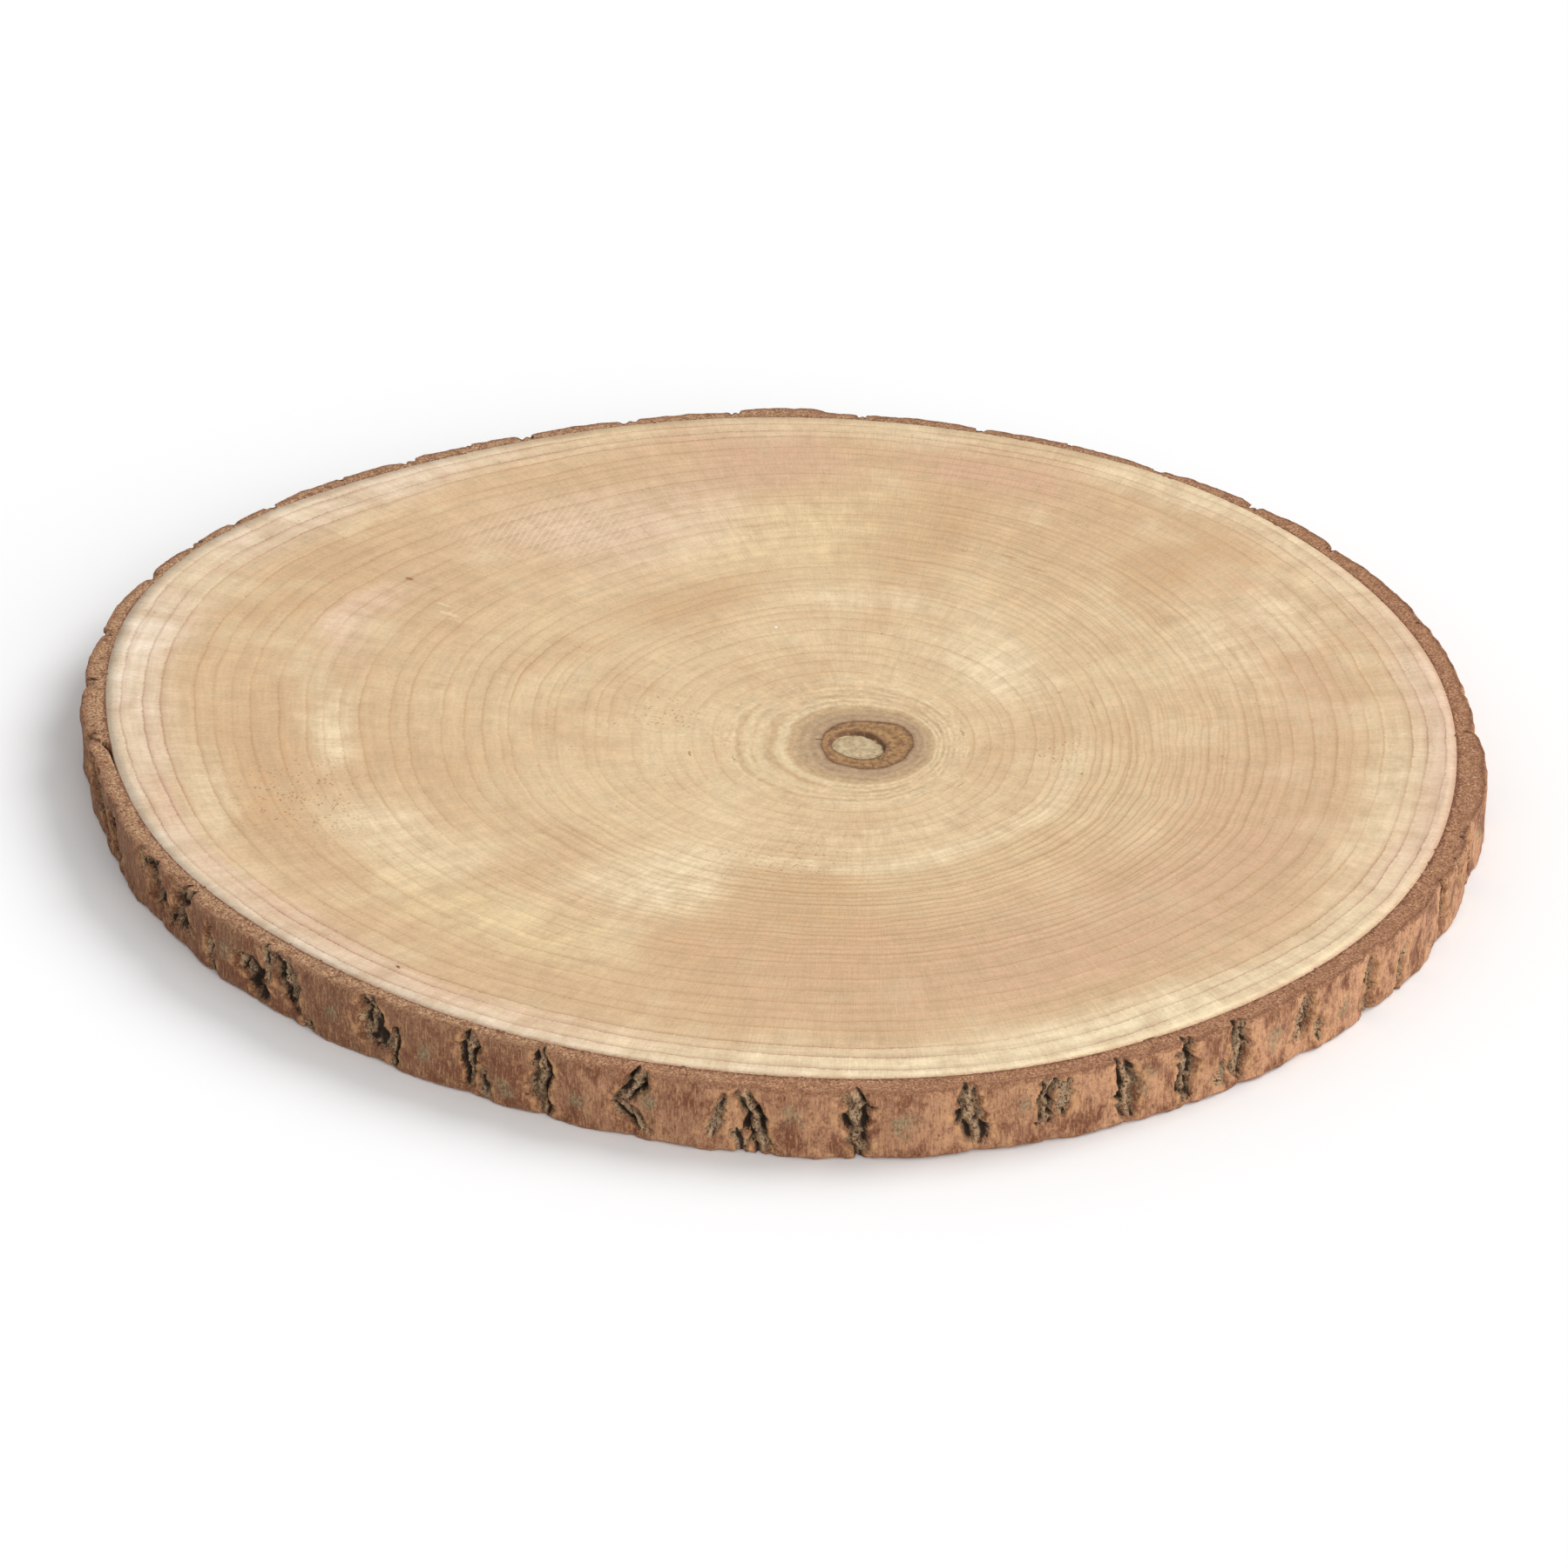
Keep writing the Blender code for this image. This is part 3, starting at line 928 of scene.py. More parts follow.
    def ground_colour(self, recipe: Recipe, fields: WoodFields) -> Socket:
        """Mixes the wood's ground: its two tones, two washes, the tints, and fine light and shade.

        Args:
            recipe: The material's recipe.
            fields: The wood's fields.

        Returns:
            The socket of the colour.
        """
        finish = self.finish
        far_out = recipe.span(fields.growth, 80.0, 150.0)
        colour = recipe.blend(far_out, linear(finish.base), linear(finish.outer))
        wash = recipe.noise(recipe.space(24.0, 24.0, 60.0), 3.0, 0.55)
        colour = recipe.blend(recipe.span(wash, 0.5, 0.68, 0.0, 0.8), colour, linear(finish.warm_wash))
        colour = recipe.blend(recipe.span(wash, 0.5, 0.32, 0.0, 0.7), colour, linear(finish.pale_wash))
        broken = recipe.span(fields.band, 0.3, 0.7, 0.75, 1.05)
        broken = recipe.maths("ADD", broken, recipe.span(fields.cloud, 0.3, 0.7, -0.16, 0.16))
        broken = recipe.maths("ADD", broken, recipe.span(fields.ray, 0.3, 0.7, -0.28, 0.28))
        for tint, tone in finish.tints:
            share = recipe.maths("MULTIPLY", recipe.attribute(tint.value), broken)
            colour = recipe.blend(share, colour, linear(tone))
        shades = (
            (fields.fibre, 0.05),
            (fields.streak, 0.045),
            (fields.band, 0.055),
            (fields.cloud, 0.05),
            (fields.grain, 0.065),
        )
        colour = self.shade(recipe, colour, *shades)
        return self.shade(recipe, colour, (fields.ray, 0.045))

    def add_year_lines(self, recipe: Recipe, fields: WoodFields, colour: Socket) -> Socket:
        """Draws the year lines, dotted with pores, fainter in places and redder far out.

        Args:
            recipe: The material's recipe.
            fields: The wood's fields.
            colour: The colour that they are drawn on.

        Returns:
            The socket of the new colour.
        """
        finish = self.finish
        jitter = recipe.span(fields.grain, 0.25, 0.75, -0.22, 0.22)
        lines = self.year_lines(recipe, recipe.maths("ADD", fields.growth, jitter))
        fading = recipe.span(recipe.noise(recipe.space(48.0, 48.0, 90.0), 2.0, 0.5), 0.36, 0.6, 0.5, 1.0)
        dotted = recipe.span(self.dots(recipe, 0.9, 0.2, 0.42), 0.0, 1.0, 0.62, 1.0)
        share = recipe.maths("MULTIPLY", recipe.maths("MULTIPLY", lines, fading), dotted)
        far_out = recipe.span(fields.growth, 176.0, 182.0)
        year_tone = recipe.blend(far_out, linear(finish.year_tone), linear(finish.outer_year_tone))
        return recipe.blend(share, colour, year_tone)

    def add_fine_lines(self, recipe: Recipe, fields: WoodFields, colour: Socket) -> Socket:
        """Draws faint close lines between the year lines, where their patches are.

        Formula: the sine of the growth over the lines' pitch, whose phase wavers with noise.

        Args:
            recipe: The material's recipe.
            fields: The wood's fields.
            colour: The colour that they are drawn on.

        Returns:
            The socket of the new colour.
        """
        phase = recipe.maths("MULTIPLY", fields.growth, FULL_TURN / self.finish.fine_line_pitch)
        phase = recipe.maths("ADD", phase, recipe.span(fields.waver, 0.2, 0.8, -1.2, 1.2))
        line = recipe.span(recipe.maths("SINE", phase), 0.3, 1.0, 0.0, 0.33)
        share = recipe.maths("MULTIPLY", line, recipe.attribute(Detail.FINE_LINES.value))
        return recipe.blend(share, colour, linear(self.finish.year_tone))

    def add_chatter(self, recipe: Recipe, fields: WoodFields, colour: Socket) -> Socket:
        """Draws the saw's chatter: short pale strokes side by side, where their patch is.

        Formula: the sine of a sloping sum of x and y over the strokes' pitch, with a noisy phase.

        Args:
            recipe: The material's recipe.
            fields: The wood's fields.
            colour: The colour that it is drawn on.

        Returns:
            The socket of the new colour.
        """
        pitch = self.finish.chatter_pitch
        x, y, _ = recipe.node("SeparateXYZ", {0: recipe.space(pitch, pitch, pitch)}).outputs
        slope = recipe.maths("MULTIPLY", y, self.finish.chatter_slope)
        phase = recipe.maths("ADD", recipe.maths("MULTIPLY", x, FULL_TURN), slope)
        phase = recipe.maths("ADD", phase, recipe.span(fields.cloud, 0.2, 0.8, -1.2, 1.2))
        stroke = recipe.span(recipe.maths("SINE", phase), 0.2, 1.0, 0.0, 0.34)
        share = recipe.maths("MULTIPLY", stroke, recipe.attribute(Detail.CHATTER.value))
        return recipe.blend(share, colour, linear(dict(self.finish.tints)[Tint.PALE]))

    def add_heart(self, recipe: Recipe, fields: WoodFields, colour: Socket) -> Socket:
        """Lays the heart over the wood: its rings, with painted shade on the hollow's wall, its speckled
        brown ring and its crescents.

        Args:
            recipe: The material's recipe.
            fields: The wood's fields.
            colour: The wood's colour, which shows through in calm places and past the heart.

        Returns:
            The socket of the new colour.
        """
        finish = self.finish
        heart_end = finish.heart[-1][0]
        stops = [(reach / heart_end, linear(tone)) for reach, tone in finish.heart]
        ragged = recipe.maths("ADD", fields.growth, recipe.span(fields.grain, 0.25, 0.75, -0.14, 0.14))
        near = recipe.ramp(recipe.maths("DIVIDE", ragged, heart_end), stops)
        near = self.shade(recipe, near, (fields.mottle, 0.08), (fields.streak, 0.06), (fields.band, 0.05))
        brown = recipe.span(ragged, 13.4, 14.2, 1.0, 0.0)
        brown = recipe.maths("MULTIPLY", brown, recipe.span(fields.growth, 6.2, 7.2, 0.15, 1.0))
        dark = recipe.maths("MULTIPLY", brown, recipe.span(fields.mottle, 0.52, 0.36, 0.0, 0.7))
        near = recipe.blend(dark, near, linear(finish.heart_dark))
        light = recipe.maths("MULTIPLY", brown, recipe.span(fields.mottle, 0.54, 0.68, 0.0, 0.6))
        near = recipe.blend(light, near, linear(finish.heart_light))
        calm = recipe.span(recipe.noise(recipe.space(11.0, 11.0, 30.0), 2.0, 0.5), 0.42, 0.6, 0.0, 0.75)
        calm = recipe.maths("MULTIPLY", calm, recipe.span(fields.growth, 21.0, 25.0))
        near = recipe.blend(calm, near, colour)
        near = self.add_crescents(recipe, fields, near)
        shades = ((fields.mottle, 0.05), (fields.streak, 0.06), (fields.band, 0.04), (fields.fibre, 0.03))
        near = self.shade(recipe, near, *shades)
        faded = recipe.maths("ADD", fields.growth, recipe.span(fields.cloud, 0.3, 0.7, -4.0, 4.0))
        return recipe.blend(recipe.span(faded, *finish.heart_fade, 1.0, 0.0), colour, near)

    def add_crescents(self, recipe: Recipe, fields: WoodFields, colour: Socket) -> Socket:
        """Lays the broad bands over the heart's rings, strongest on the side that they face.

        Args:
            recipe: The material's recipe.
            fields: The wood's fields.
            colour: The heart's colour.

        Returns:
            The socket of the new colour.
        """
        side = recipe.span(recipe.facing(fields.turn, self.finish.crescent_side), 0.2, 0.85)
        for low, high, tone, strength in self.finish.crescents:
            band = recipe.span(fields.growth, low - 0.4, low + 0.4, 0.0, strength)
            end = recipe.span(fields.growth, high - 0.4, high + 0.4, 1.0, 0.0)
            band = recipe.maths("MULTIPLY", band, end)
            colour = recipe.blend(recipe.maths("MULTIPLY", band, side), colour, linear(tone))
        return colour

    def add_rim(self, recipe: Recipe, fields: WoodFields, colour: Socket) -> Socket:
        """Blurs the wood's rim into the bark's tone, most on the side where it is fuzzy.

        Args:
            recipe: The material's recipe.
            fields: The wood's fields.
            colour: The wood's colour.

        Returns:
            The socket of the new colour.
        """
        jitter = recipe.span(fields.grain, 0.25, 0.75, -0.004, 0.004)
        edge = recipe.maths("ADD", recipe.attribute("rim"), jitter)
        side = recipe.span(recipe.facing(fields.turn, self.finish.fuzzy_side), -0.3, 0.6, 0.1, 1.0)
        fuzz = recipe.maths("MULTIPLY", recipe.span(edge, 0.990, 1.003, 0.0, 0.8), side)
        return recipe.blend(fuzz, colour, linear(self.finish.bark_side))

    def add_marks(self, recipe: Recipe, colour: Socket) -> Socket:
        """Lays the small marks over the colour: ragged ovals, each turned along its ring.

        Args:
            recipe: The material's recipe.
            colour: The wood's colour.

        Returns:
            The socket of the new colour.
        """
        source = recipe.node("TexCoord").outputs["Object"]
        noise = recipe.node("TexNoise", {"Vector": recipe.space(1.3, 1.3, 1.3), "Scale": 1.0})
        ragged = noise.outputs["Color"]
        pushed = recipe.node("VectorMath", {0: ragged, 1: (0.5, 0.5, 0.5)}, operation="SUBTRACT").outputs[0]
        pushed = recipe.node("VectorMath", {0: pushed, "Scale": 1.6 * MM}, operation="SCALE").outputs[0]
        source = recipe.node("VectorMath", {0: source, 1: pushed}, operation="ADD").outputs[0]
        for mark in self.finish.marks:
            x, y = self.spot(mark.turn, mark.reach)
            inputs = {
                "Vector": source,
                "Location": (x * MM, y * MM, self.outline.thickness * MM),
                "Rotation": (0.0, 0.0, float(np.radians(mark.turn + 90.0))),
                "Scale": (mark.length / 2.0 * MM, mark.width / 2.0 * MM, 1.0 * MM),
            }
            near = recipe.node("Mapping", inputs, vector_type="TEXTURE").outputs["Vector"]
            far = recipe.node("VectorMath", {0: near}, operation="LENGTH").outputs["Value"]
            colour = recipe.blend(recipe.span(far, 0.6, 1.1, mark.strength, 0.0), colour, linear(mark.colour))
        return colour

    def add_pores(self, recipe: Recipe, fields: WoodFields, colour: Socket) -> Socket:
        """Sprinkles fine red-brown pores, most of them in a few patches and none in the heart.

        Args:
            recipe: The material's recipe.
            fields: The wood's fields.
            colour: The wood's colour.

        Returns:
            The socket of the new colour.
        """
        chosen = recipe.span(recipe.noise(recipe.space(9.0, 9.0, 20.0), 2.0, 0.5), 0.58, 0.7, 0.0, 0.4)
        chosen = recipe.maths("MAXIMUM", chosen, recipe.attribute(Detail.PORES.value))
        share = recipe.maths("MULTIPLY", self.dots(recipe, 1.2, 0.18, 0.38), chosen)
        cluster = recipe.span(recipe.noise(recipe.space(3.2, 3.2, 9.0), 2.0, 0.6), 0.46, 0.58)
        share = recipe.maths("MULTIPLY", share, cluster)
        share = recipe.maths("MULTIPLY", share, recipe.span(fields.growth, 25.0, 40.0))
        return recipe.blend(share, colour, linear(self.finish.pore))


@dataclass(frozen=True)
class PithFinish:
    """The pith's soft cream tissue."""

    light: Colour = (213, 191, 154)
    dark: Colour = (176, 153, 117)
    fleck: Colour = (124, 94, 62)


@dataclass(frozen=True)
class Pith:
    """The pith: a soft plug on the floor of the hollow."""

    wood: Wood
    finish: PithFinish = PithFinish()
    rings: int = 26
    columns: int = 120
    overreach: float = 1.02
    floor_gap: float = 0.5
    pad: float = 0.25
    edge_fall: float = 0.25
    relief: float = 0.16

    def build(self) -> bpy.types.Object:
        """Makes the plug: a low pad with a rough top, which just reaches into the hollow's wall.

        Returns:
            The finished piece.
        """
        wood = self.wood
        turn = np.arange(self.columns) / self.columns * FULL_TURN
        out = np.linspace(0.0, 1.0, self.rings + 1)[1:]
        reach_top = wood.plug_reach * self.overreach * out
        reach = np.concatenate([reach_top, reach_top[::-1]])
        turn_grid, reach_grid = np.meshgrid(turn, reach)
        place = wood.star(turn_grid, reach_grid)
        floor = wood.outline.thickness - wood.hollow_depth
        x, y = place[..., 0], place[..., 1]
        rough = 0.6 * plane_noise(x, y, 1.5, 71) + 0.4 * plane_noise(x, y, 0.6, 72)
        fall = smooth_step(reach_grid / wood.plug_reach, 0.7, 1.0)
        height = floor + self.pad + self.relief * rough - self.edge_fall * fall
        height[self.rings:] = floor - self.floor_gap
        rows = np.concatenate([place, height[..., None]], axis=-1)
        middle = np.array([*wood.pith, 0.0])
        poles = (middle + [0.0, 0.0, floor + self.pad], middle + [0.0, 0.0, floor - self.floor_gap])
        made = grid_mesh("slice_pith", rows, poles, {})
        made.data.materials.append(self.material())
        return made

    def material(self) -> bpy.types.Material:
        """Mixes the pith's material: cream, mottled, with a few brown flecks.

        Returns:
            The finished material.
        """
        finish = self.finish
        recipe = Recipe("soft_pith")
        mottle = recipe.noise(recipe.space(1.8, 1.8, 1.8), 4.0, 0.6)
        fine = recipe.noise(recipe.space(0.5, 0.5, 0.5), 3.0, 0.6)
        colour = recipe.blend(recipe.span(mottle, 0.3, 0.7), linear(finish.light), linear(finish.dark))
        cells = recipe.node("TexVoronoi", {"Vector": recipe.space(2.4, 2.4, 2.4), "Scale": 1.0})
        fleck = recipe.span(cells.outputs["Distance"], 0.10, 0.2, 0.6, 0.0)
        colour = recipe.blend(fleck, colour, linear(finish.fleck))
        normal = recipe.bump(fine, 0.12)
        return recipe.finish(colour, recipe.span(mottle, 0.2, 0.8, 0.8, 0.95), normal, 0.25)


BROAD_WIDTH, BROAD_DEPTH = 8.4, 3.2
WIDE_WIDTH, WIDE_DEPTH = 5.0, 2.8
NARROW_WIDTH, NARROW_DEPTH = 3.2, 1.6
# Where the fissures lie in a crack of each width, in half widths from its middle
FISSURE_PLACES = {
    BROAD_WIDTH: (-0.6, -0.18, 0.25, 0.62),
    WIDE_WIDTH: (-0.62, 0.6),
    NARROW_WIDTH: (0.1,),
}


def broad(angle: float, low: float, high: float, lean: float = 0.0) -> Furrow:
    """Gives a broad crack, where the bark has split most."""
    return Furrow(angle, low, high, lean, BROAD_WIDTH, BROAD_DEPTH)


def wide(angle: float, low: float, high: float, lean: float = 0.0) -> Furrow:
    """Gives a wide crack, between two plates."""
    return Furrow(angle, low, high, lean, WIDE_WIDTH, WIDE_DEPTH)


def narrow(angle: float, low: float, high: float, lean: float = 0.0) -> Furrow:
    """Gives a narrow crack, within a plate."""
    return Furrow(angle, low, high, lean, NARROW_WIDTH, NARROW_DEPTH)


@dataclass(frozen=True)
class BarkFinish:
    """The bark's colours: its wall with painted side light and shade, its cracks and its sawn faces."""

    # The plates' tone on the lit side and on the shaded side: painted light and shade
    lit_plate: Colour = (206, 154, 117)
    shaded_plate: Colour = (100, 63, 42)
    dark_brown: Colour = (122, 75, 52)
    orange_fibre: Colour = (208, 159, 115)
    pit: Colour = (86, 52, 36)
    speck: Colour = (216, 170, 126)
    lip: Colour = (214, 162, 112)
    floor_grey: Colour = (164, 144, 116)
    floor_tan: Colour = (204, 167, 128)
    floor_dark: Colour = (84, 60, 42)
    # Painted shade: the near black of the fissures and of the gap where bark and wood have parted
    fissure_and_shade: Colour = (40, 29, 21)
    lichen: Colour = (158, 146, 112)
    lichen_dark: Colour = (112, 100, 74)
    cut: Colour = (195, 154, 117)
    red_cut: Colour = (186, 134, 98)
    cut_dark: Colour = (136, 92, 64)
    cut_light: Colour = (222, 184, 145)
    # Painted shade: the dark red-brown lines at the step down from the wood and at the rounded rim
    cut_edge_shade: Colour = (114, 67, 48)


@dataclass(frozen=True)
class Bark:
    """The bark: a furrowed ring round the wood, with sawn faces above and below."""

    outline: Outline = OUTLINE
    finish: BarkFinish = BarkFinish()
    seed: int = 11
    crack_seed: int = 200
    seeds_apart: int = 20
    plate_swell: float = 1.3
    whole_plate: float = 6.0
    swell_range: tuple[float, float] = (0.3, 1.3)
    proud_plates: tuple[tuple[float, float, float], ...] = ((90.7, 4.1, 2.0), (351.0, 6.2, 1.0))
    plate_shoulder: int = 12
    grain: float = 0.22
    grain_waves: tuple[int, ...] = (31, 53, 87, 131, 173)
    grain_fall: float = 0.3
    # The wall's lumps and fibres: their relief, their width and height, and their seed
    roughness: tuple[tuple[float, float, float, int], ...] = (
        (0.22, 5.0, 5.5, 81), (0.12, 2.2, 2.6, 82), (0.07, 1.0, 6.0, 84), (0.05, 0.8, 1.2, 85),
    )
    front_furrows: tuple[Furrow, ...] = (
        broad(187.6, 6, 20, -2.0),
        broad(190.6, 1, 20, -4.0),
        broad(195.0, 1, 16, -3.0),
        narrow(202.5, 13, 21, -1.0),
        broad(205.2, 4, 20, -1.4),
        narrow(207.5, 3, 11),
        broad(209.8, 5, 21, 1.0),
        narrow(214.5, -1, 17),
        broad(220.2, 1, 14, -1.6),
        narrow(222.1, 8, 21),
        broad(224.8, 3, 20, -1.0),
        narrow(227.0, -1, 5),
        broad(234.2, 4, 20, -0.6),
        narrow(236.4, -1, 14, 0.6),
        wide(243.6, 2, 20, 0.6),
        narrow(245.1, 0, 10),
        wide(250.3, 0, 21, -0.3),
        wide(258.0, 10, 21, 2.2),
        wide(258.0, 2, 11, -2.3),
        narrow(264.8, 4, 18, 1.0),
        narrow(266.4, -1, 8, -0.5),
        wide(267.4, -1, 20, -1.9),
        wide(275.2, -1, 21),
        wide(283.8, 2, 21, -0.6),
        wide(289.4, 5, 20, 0.8),
        narrow(290.9, 7, 19, 0.6),
        wide(295.8, 1, 21, -0.6),
        wide(301.1, 1, 21),
        narrow(304.3, 2, 11),
        wide(306.0, 2, 21),
        wide(312.5, 5, 21, 1.3),
        narrow(314.2, 2, 10),
        wide(320.6, -1, 19),
        narrow(325.2, -1, 15, 0.6),
        wide(333.0, 6, 20),
        narrow(336.8, 9, 21, -0.6),
        wide(341.0, -1, 21, -1.2),
    )
    back_notches: tuple[float, ...] = (
        357.4, 4.3, 16.8, 32.6, 42.4, 54.0, 63.0, 71.8, 83.2, 94.8, 104.5,
        114.0, 119.6, 125.6, 132.5, 140.1, 144.5, 149.2, 155.8, 165.4, 174.0, 183.0,
    )
    back_feet: tuple[float, float] = (-1.0, 7.0)
    back_head: float = 21.0
    most_back_lean: float = 1.2
    back_share_wide: float = 0.7
    columns: int = 1600
    density_steps: int = 7200
    crowding: float = 1.6
    crowding_reach: float = 0.75
    # Painted light and shade round the bark's side, lightest towards the lamps on the right: angle in degrees
    # and share
    painted_side_light: tuple[tuple[float, float], ...] = (
        (0.0, 0.85), (60.0, 0.5), (120.0, 0.3), (200.0, 0.22), (244.0, 0.25),
        (260.0, 0.62), (286.0, 0.68), (308.0, 1.0), (335.0, 1.0),
    )
    crack_breadth: float = 1.26
    ridge_depth: float = 0.42
    fissure_depth: float = 1.4
    face_rings: int = 13
    wall_rings: int = 36
    under_rings: int = 5
    rim: float = 1.4
    rim_steps: tuple[float, ...] = (0.0, 0.06, 0.22, 0.45, 0.72)
    rim_fall: float = 0.12
    mean_chip: float = 1.2
    face_drop: float = 0.22
    face_grit: float = 0.16
    inner_overlap: float = 0.35
    least_thickness: float = 1.2
    # The gap where bark and wood have parted on the left: angle in degrees and radius
    parting: tuple[tuple[float, float], ...] = (
        (182.4, 200.4), (183.4, 199.2), (184.2, 195.8), (185.9, 193.4), (189.6, 191.4),
    )
    parting_width: float = 0.8
    parting_depth: float = 3.0
    # Lichen: angle, height and half width of each spot
    lichen_spots: tuple[tuple[float, float, float], ...] = (
        (230.2, 10.8, 3.2), (259.0, 12.5, 3.6), (270.2, 13.0, 3.4), (297.1, 12.5, 3.4), (278.9, 11.0, 3.6),
        (253.2, 8.0, 2.6), (247.0, 6.0, 2.8), (287.6, 13.5, 2.6), (309.4, 11.0, 2.8), (317.0, 9.0, 2.6),
        (239.5, 9.0, 2.4), (345.0, 11.0, 2.4), (12.0, 9.0, 3.0), (48.0, 11.0, 3.0), (88.0, 10.0, 3.2),
        (110.0, 8.0, 2.6), (137.0, 12.0, 3.0), (170.0, 9.0, 3.0), (198.0, 9.0, 2.4), (217.0, 12.0, 2.2),
    )

    def furrows(self, rng: np.random.Generator) -> list[Furrow]:
        """Gives all the cracks: those of the front, and one from each notch of the back rim.

        Args:
            rng: The seeded source of each back crack's foot, lean and kind, drawn in that order.

        Returns:
            The cracks.
        """
        found = list(self.front_furrows)
        for notch in self.back_notches:
            foot = rng.uniform(*self.back_feet)
            lean = rng.uniform(-self.most_back_lean, self.most_back_lean)
            kind = wide if rng.uniform() < self.back_share_wide else narrow
            found.append(kind(notch - lean / 2.0, foot, self.back_head, lean))
        return found

    def column_turns(self, furrows: list[Furrow]) -> np.ndarray:
        """Spaces the columns round the turn, closer together at the cracks.

        Formula: the density is one, plus the crowding times a bell curve at each crack. The columns
        stand where the density's running total reaches equal shares.

        Args:
            furrows: The cracks.

        Returns:
            The columns' angles in radians.
        """
        turn = np.linspace(0.0, FULL_TURN, self.density_steps, endpoint=False)
        density = np.ones_like(turn)
        for furrow in furrows:
            reach = self.crowding_reach * furrow.width / self.outline.mean_radius
            apart = turn_between(turn, np.radians(furrow.angle)) / reach
            density = np.maximum(density, 1.0 + self.crowding * np.exp(-(apart**2)))
        share = np.concatenate([[0.0], np.cumsum(density)]) / density.sum()
        return np.interp(np.arange(self.columns) / self.columns, share, np.append(turn, FULL_TURN))

    def plate_relief(self, turn: np.ndarray, furrows: list[Furrow]) -> np.ndarray:
        """Gives the swell of each plate between wide cracks, and the steps of the proud plates.

        Formula: between two wide cracks the swell is the half circle's arch over the share of the way,
        times a size that grows with the plate. A proud plate adds its height times the exponential of
        minus a high power of the share of its half width.

        Args:
            turn: Angles in radians.
            furrows: The cracks.

        Returns:
            The relief in millimetres.
        """
        edges = np.unique([np.radians(furrow.angle) for furrow in furrows if furrow.width >= WIDE_WIDTH])
        edges = np.concatenate([[edges[-1] - FULL_TURN], edges, [edges[0] + FULL_TURN]])
        after = np.clip(np.searchsorted(edges, turn), 1, len(edges) - 1)
        breadth = edges[after] - edges[after - 1]
        share = (turn - edges[after - 1]) / breadth
        size = np.clip(breadth / np.radians(self.whole_plate), *self.swell_range)
        relief = self.plate_swell * size * np.sqrt(np.clip(1.0 - (2.0 * share - 1.0) ** 2, 0.0, 1.0))
        for middle, half_width, height in self.proud_plates:
            apart = turn_between(turn, np.radians(middle)) / np.radians(half_width)
            relief += height * np.exp(-(apart**self.plate_shoulder))
        return relief

    def grain_relief(self, turn: np.ndarray, height: np.ndarray, rng: np.random.Generator) -> np.ndarray:
        """Gives the wall's own unevenness: sine waves round the turn that drift as they go up.

        Args:
            turn: Angles in radians.
            height: Heights in millimetres.
            rng: The seeded source of each wave's phase and drift, drawn in that order.

        Returns:
            The relief in millimetres.
        """
        share = height / self.outline.thickness
        relief = np.zeros_like(turn)
        for count in self.grain_waves:
            phase, drift = rng.uniform(0.0, FULL_TURN), rng.uniform(-np.pi, np.pi)
            relief += np.sin(count * turn + phase + 2.0 * drift * share) / count**self.grain_fall
        return self.grain * relief

    def wall_noise(
        self, turn: np.ndarray, height: np.ndarray, wide_by: float, high_by: float, seed: int
    ) -> np.ndarray:
        """Gives smooth noise over the wall, whose bumps are this wide and this high."""
        cells = int(round(FULL_TURN * self.outline.mean_radius / wide_by))
        return lattice_noise(turn / FULL_TURN * cells, height / high_by + 7.0, cells, seed)

    def jagged(self, height: np.ndarray, bends: int, size: float, rng: np.random.Generator) -> np.ndarray:
        """Gives a line up the wall that bends at random heights, by at most this size to either side."""
        levels = np.sort(rng.uniform(-1.0, self.outline.thickness + 1.0, bends))
        return np.interp(height, levels, rng.uniform(-size, size, bends))

    def crack(
        self, turn: np.ndarray, height: np.ndarray, furrow: Furrow, seed: int
    ) -> tuple[np.ndarray, ...]:
        """Carves one crack, with ragged edges, a rough ridge inside and fissures beside it, painted dark as
        shade.

        Formula: the middle line leans and bends as it goes up. Each side has its own jagged edge, and
        one end is broader. Inside them the depth rises steeply to the floor, which is rough, and each
        fissure adds a narrow bell curve. All of it tapers out at the crack's two ends.

        Args:
            turn: Angles in radians.
            height: Heights in millimetres.
            furrow: The crack.
            seed: Seed of its noise.

        Returns:
            The depth in millimetres, how far inside the crack a point is, how deep in a fissure, and
            how near to its edge outside, the last three from nought to one.
        """
        rng = np.random.default_rng(seed)
        along = (height - (furrow.low + furrow.high) / 2.0) / (furrow.high - furrow.low)
        taper = np.clip(1.0 - (2.0 * along) ** 4, 0.0, 1.0)
        middle = np.radians(furrow.angle + furrow.lean * along)
        wander = self.jagged(height, 8, 0.2, rng) * furrow.width
        across = turn_between(turn, middle) * self.outline.mean_radius - wander
        ragged = np.where(across > 0.0, self.jagged(height, 14, 0.6, rng), self.jagged(height, 14, 0.6, rng))
        skew = 1.0 + rng.uniform(-0.8, 0.8) * along
        breadth = np.maximum(self.crack_breadth + ragged, 0.35) * skew
        half_width = furrow.width / 2.0 * breadth * taper**0.4 + 1e-6
        share = np.abs(across) / half_width
        inside = (1.0 - smooth_step(share, 0.66, 1.1)) * (taper > 0.0)
        fissure_and_shade = np.zeros_like(height)
        for place in FISSURE_PLACES[furrow.width]:
            line = place * half_width + self.jagged(height, 10, 0.7, rng)
            strength = 0.3 + 0.7 * smooth_step(self.jagged(height, 6, 1.0, rng), -0.5, 0.2)
            gape = (0.3 + 0.1 * furrow.width) * (1.0 + self.jagged(height, 12, 0.6, rng))
            fissure_and_shade = np.maximum(fissure_and_shade, strength * np.exp(-(((across - line) / gape) ** 2)))
        fissure_and_shade *= np.sqrt(taper) * smooth_step(inside, 0.05, 0.5)
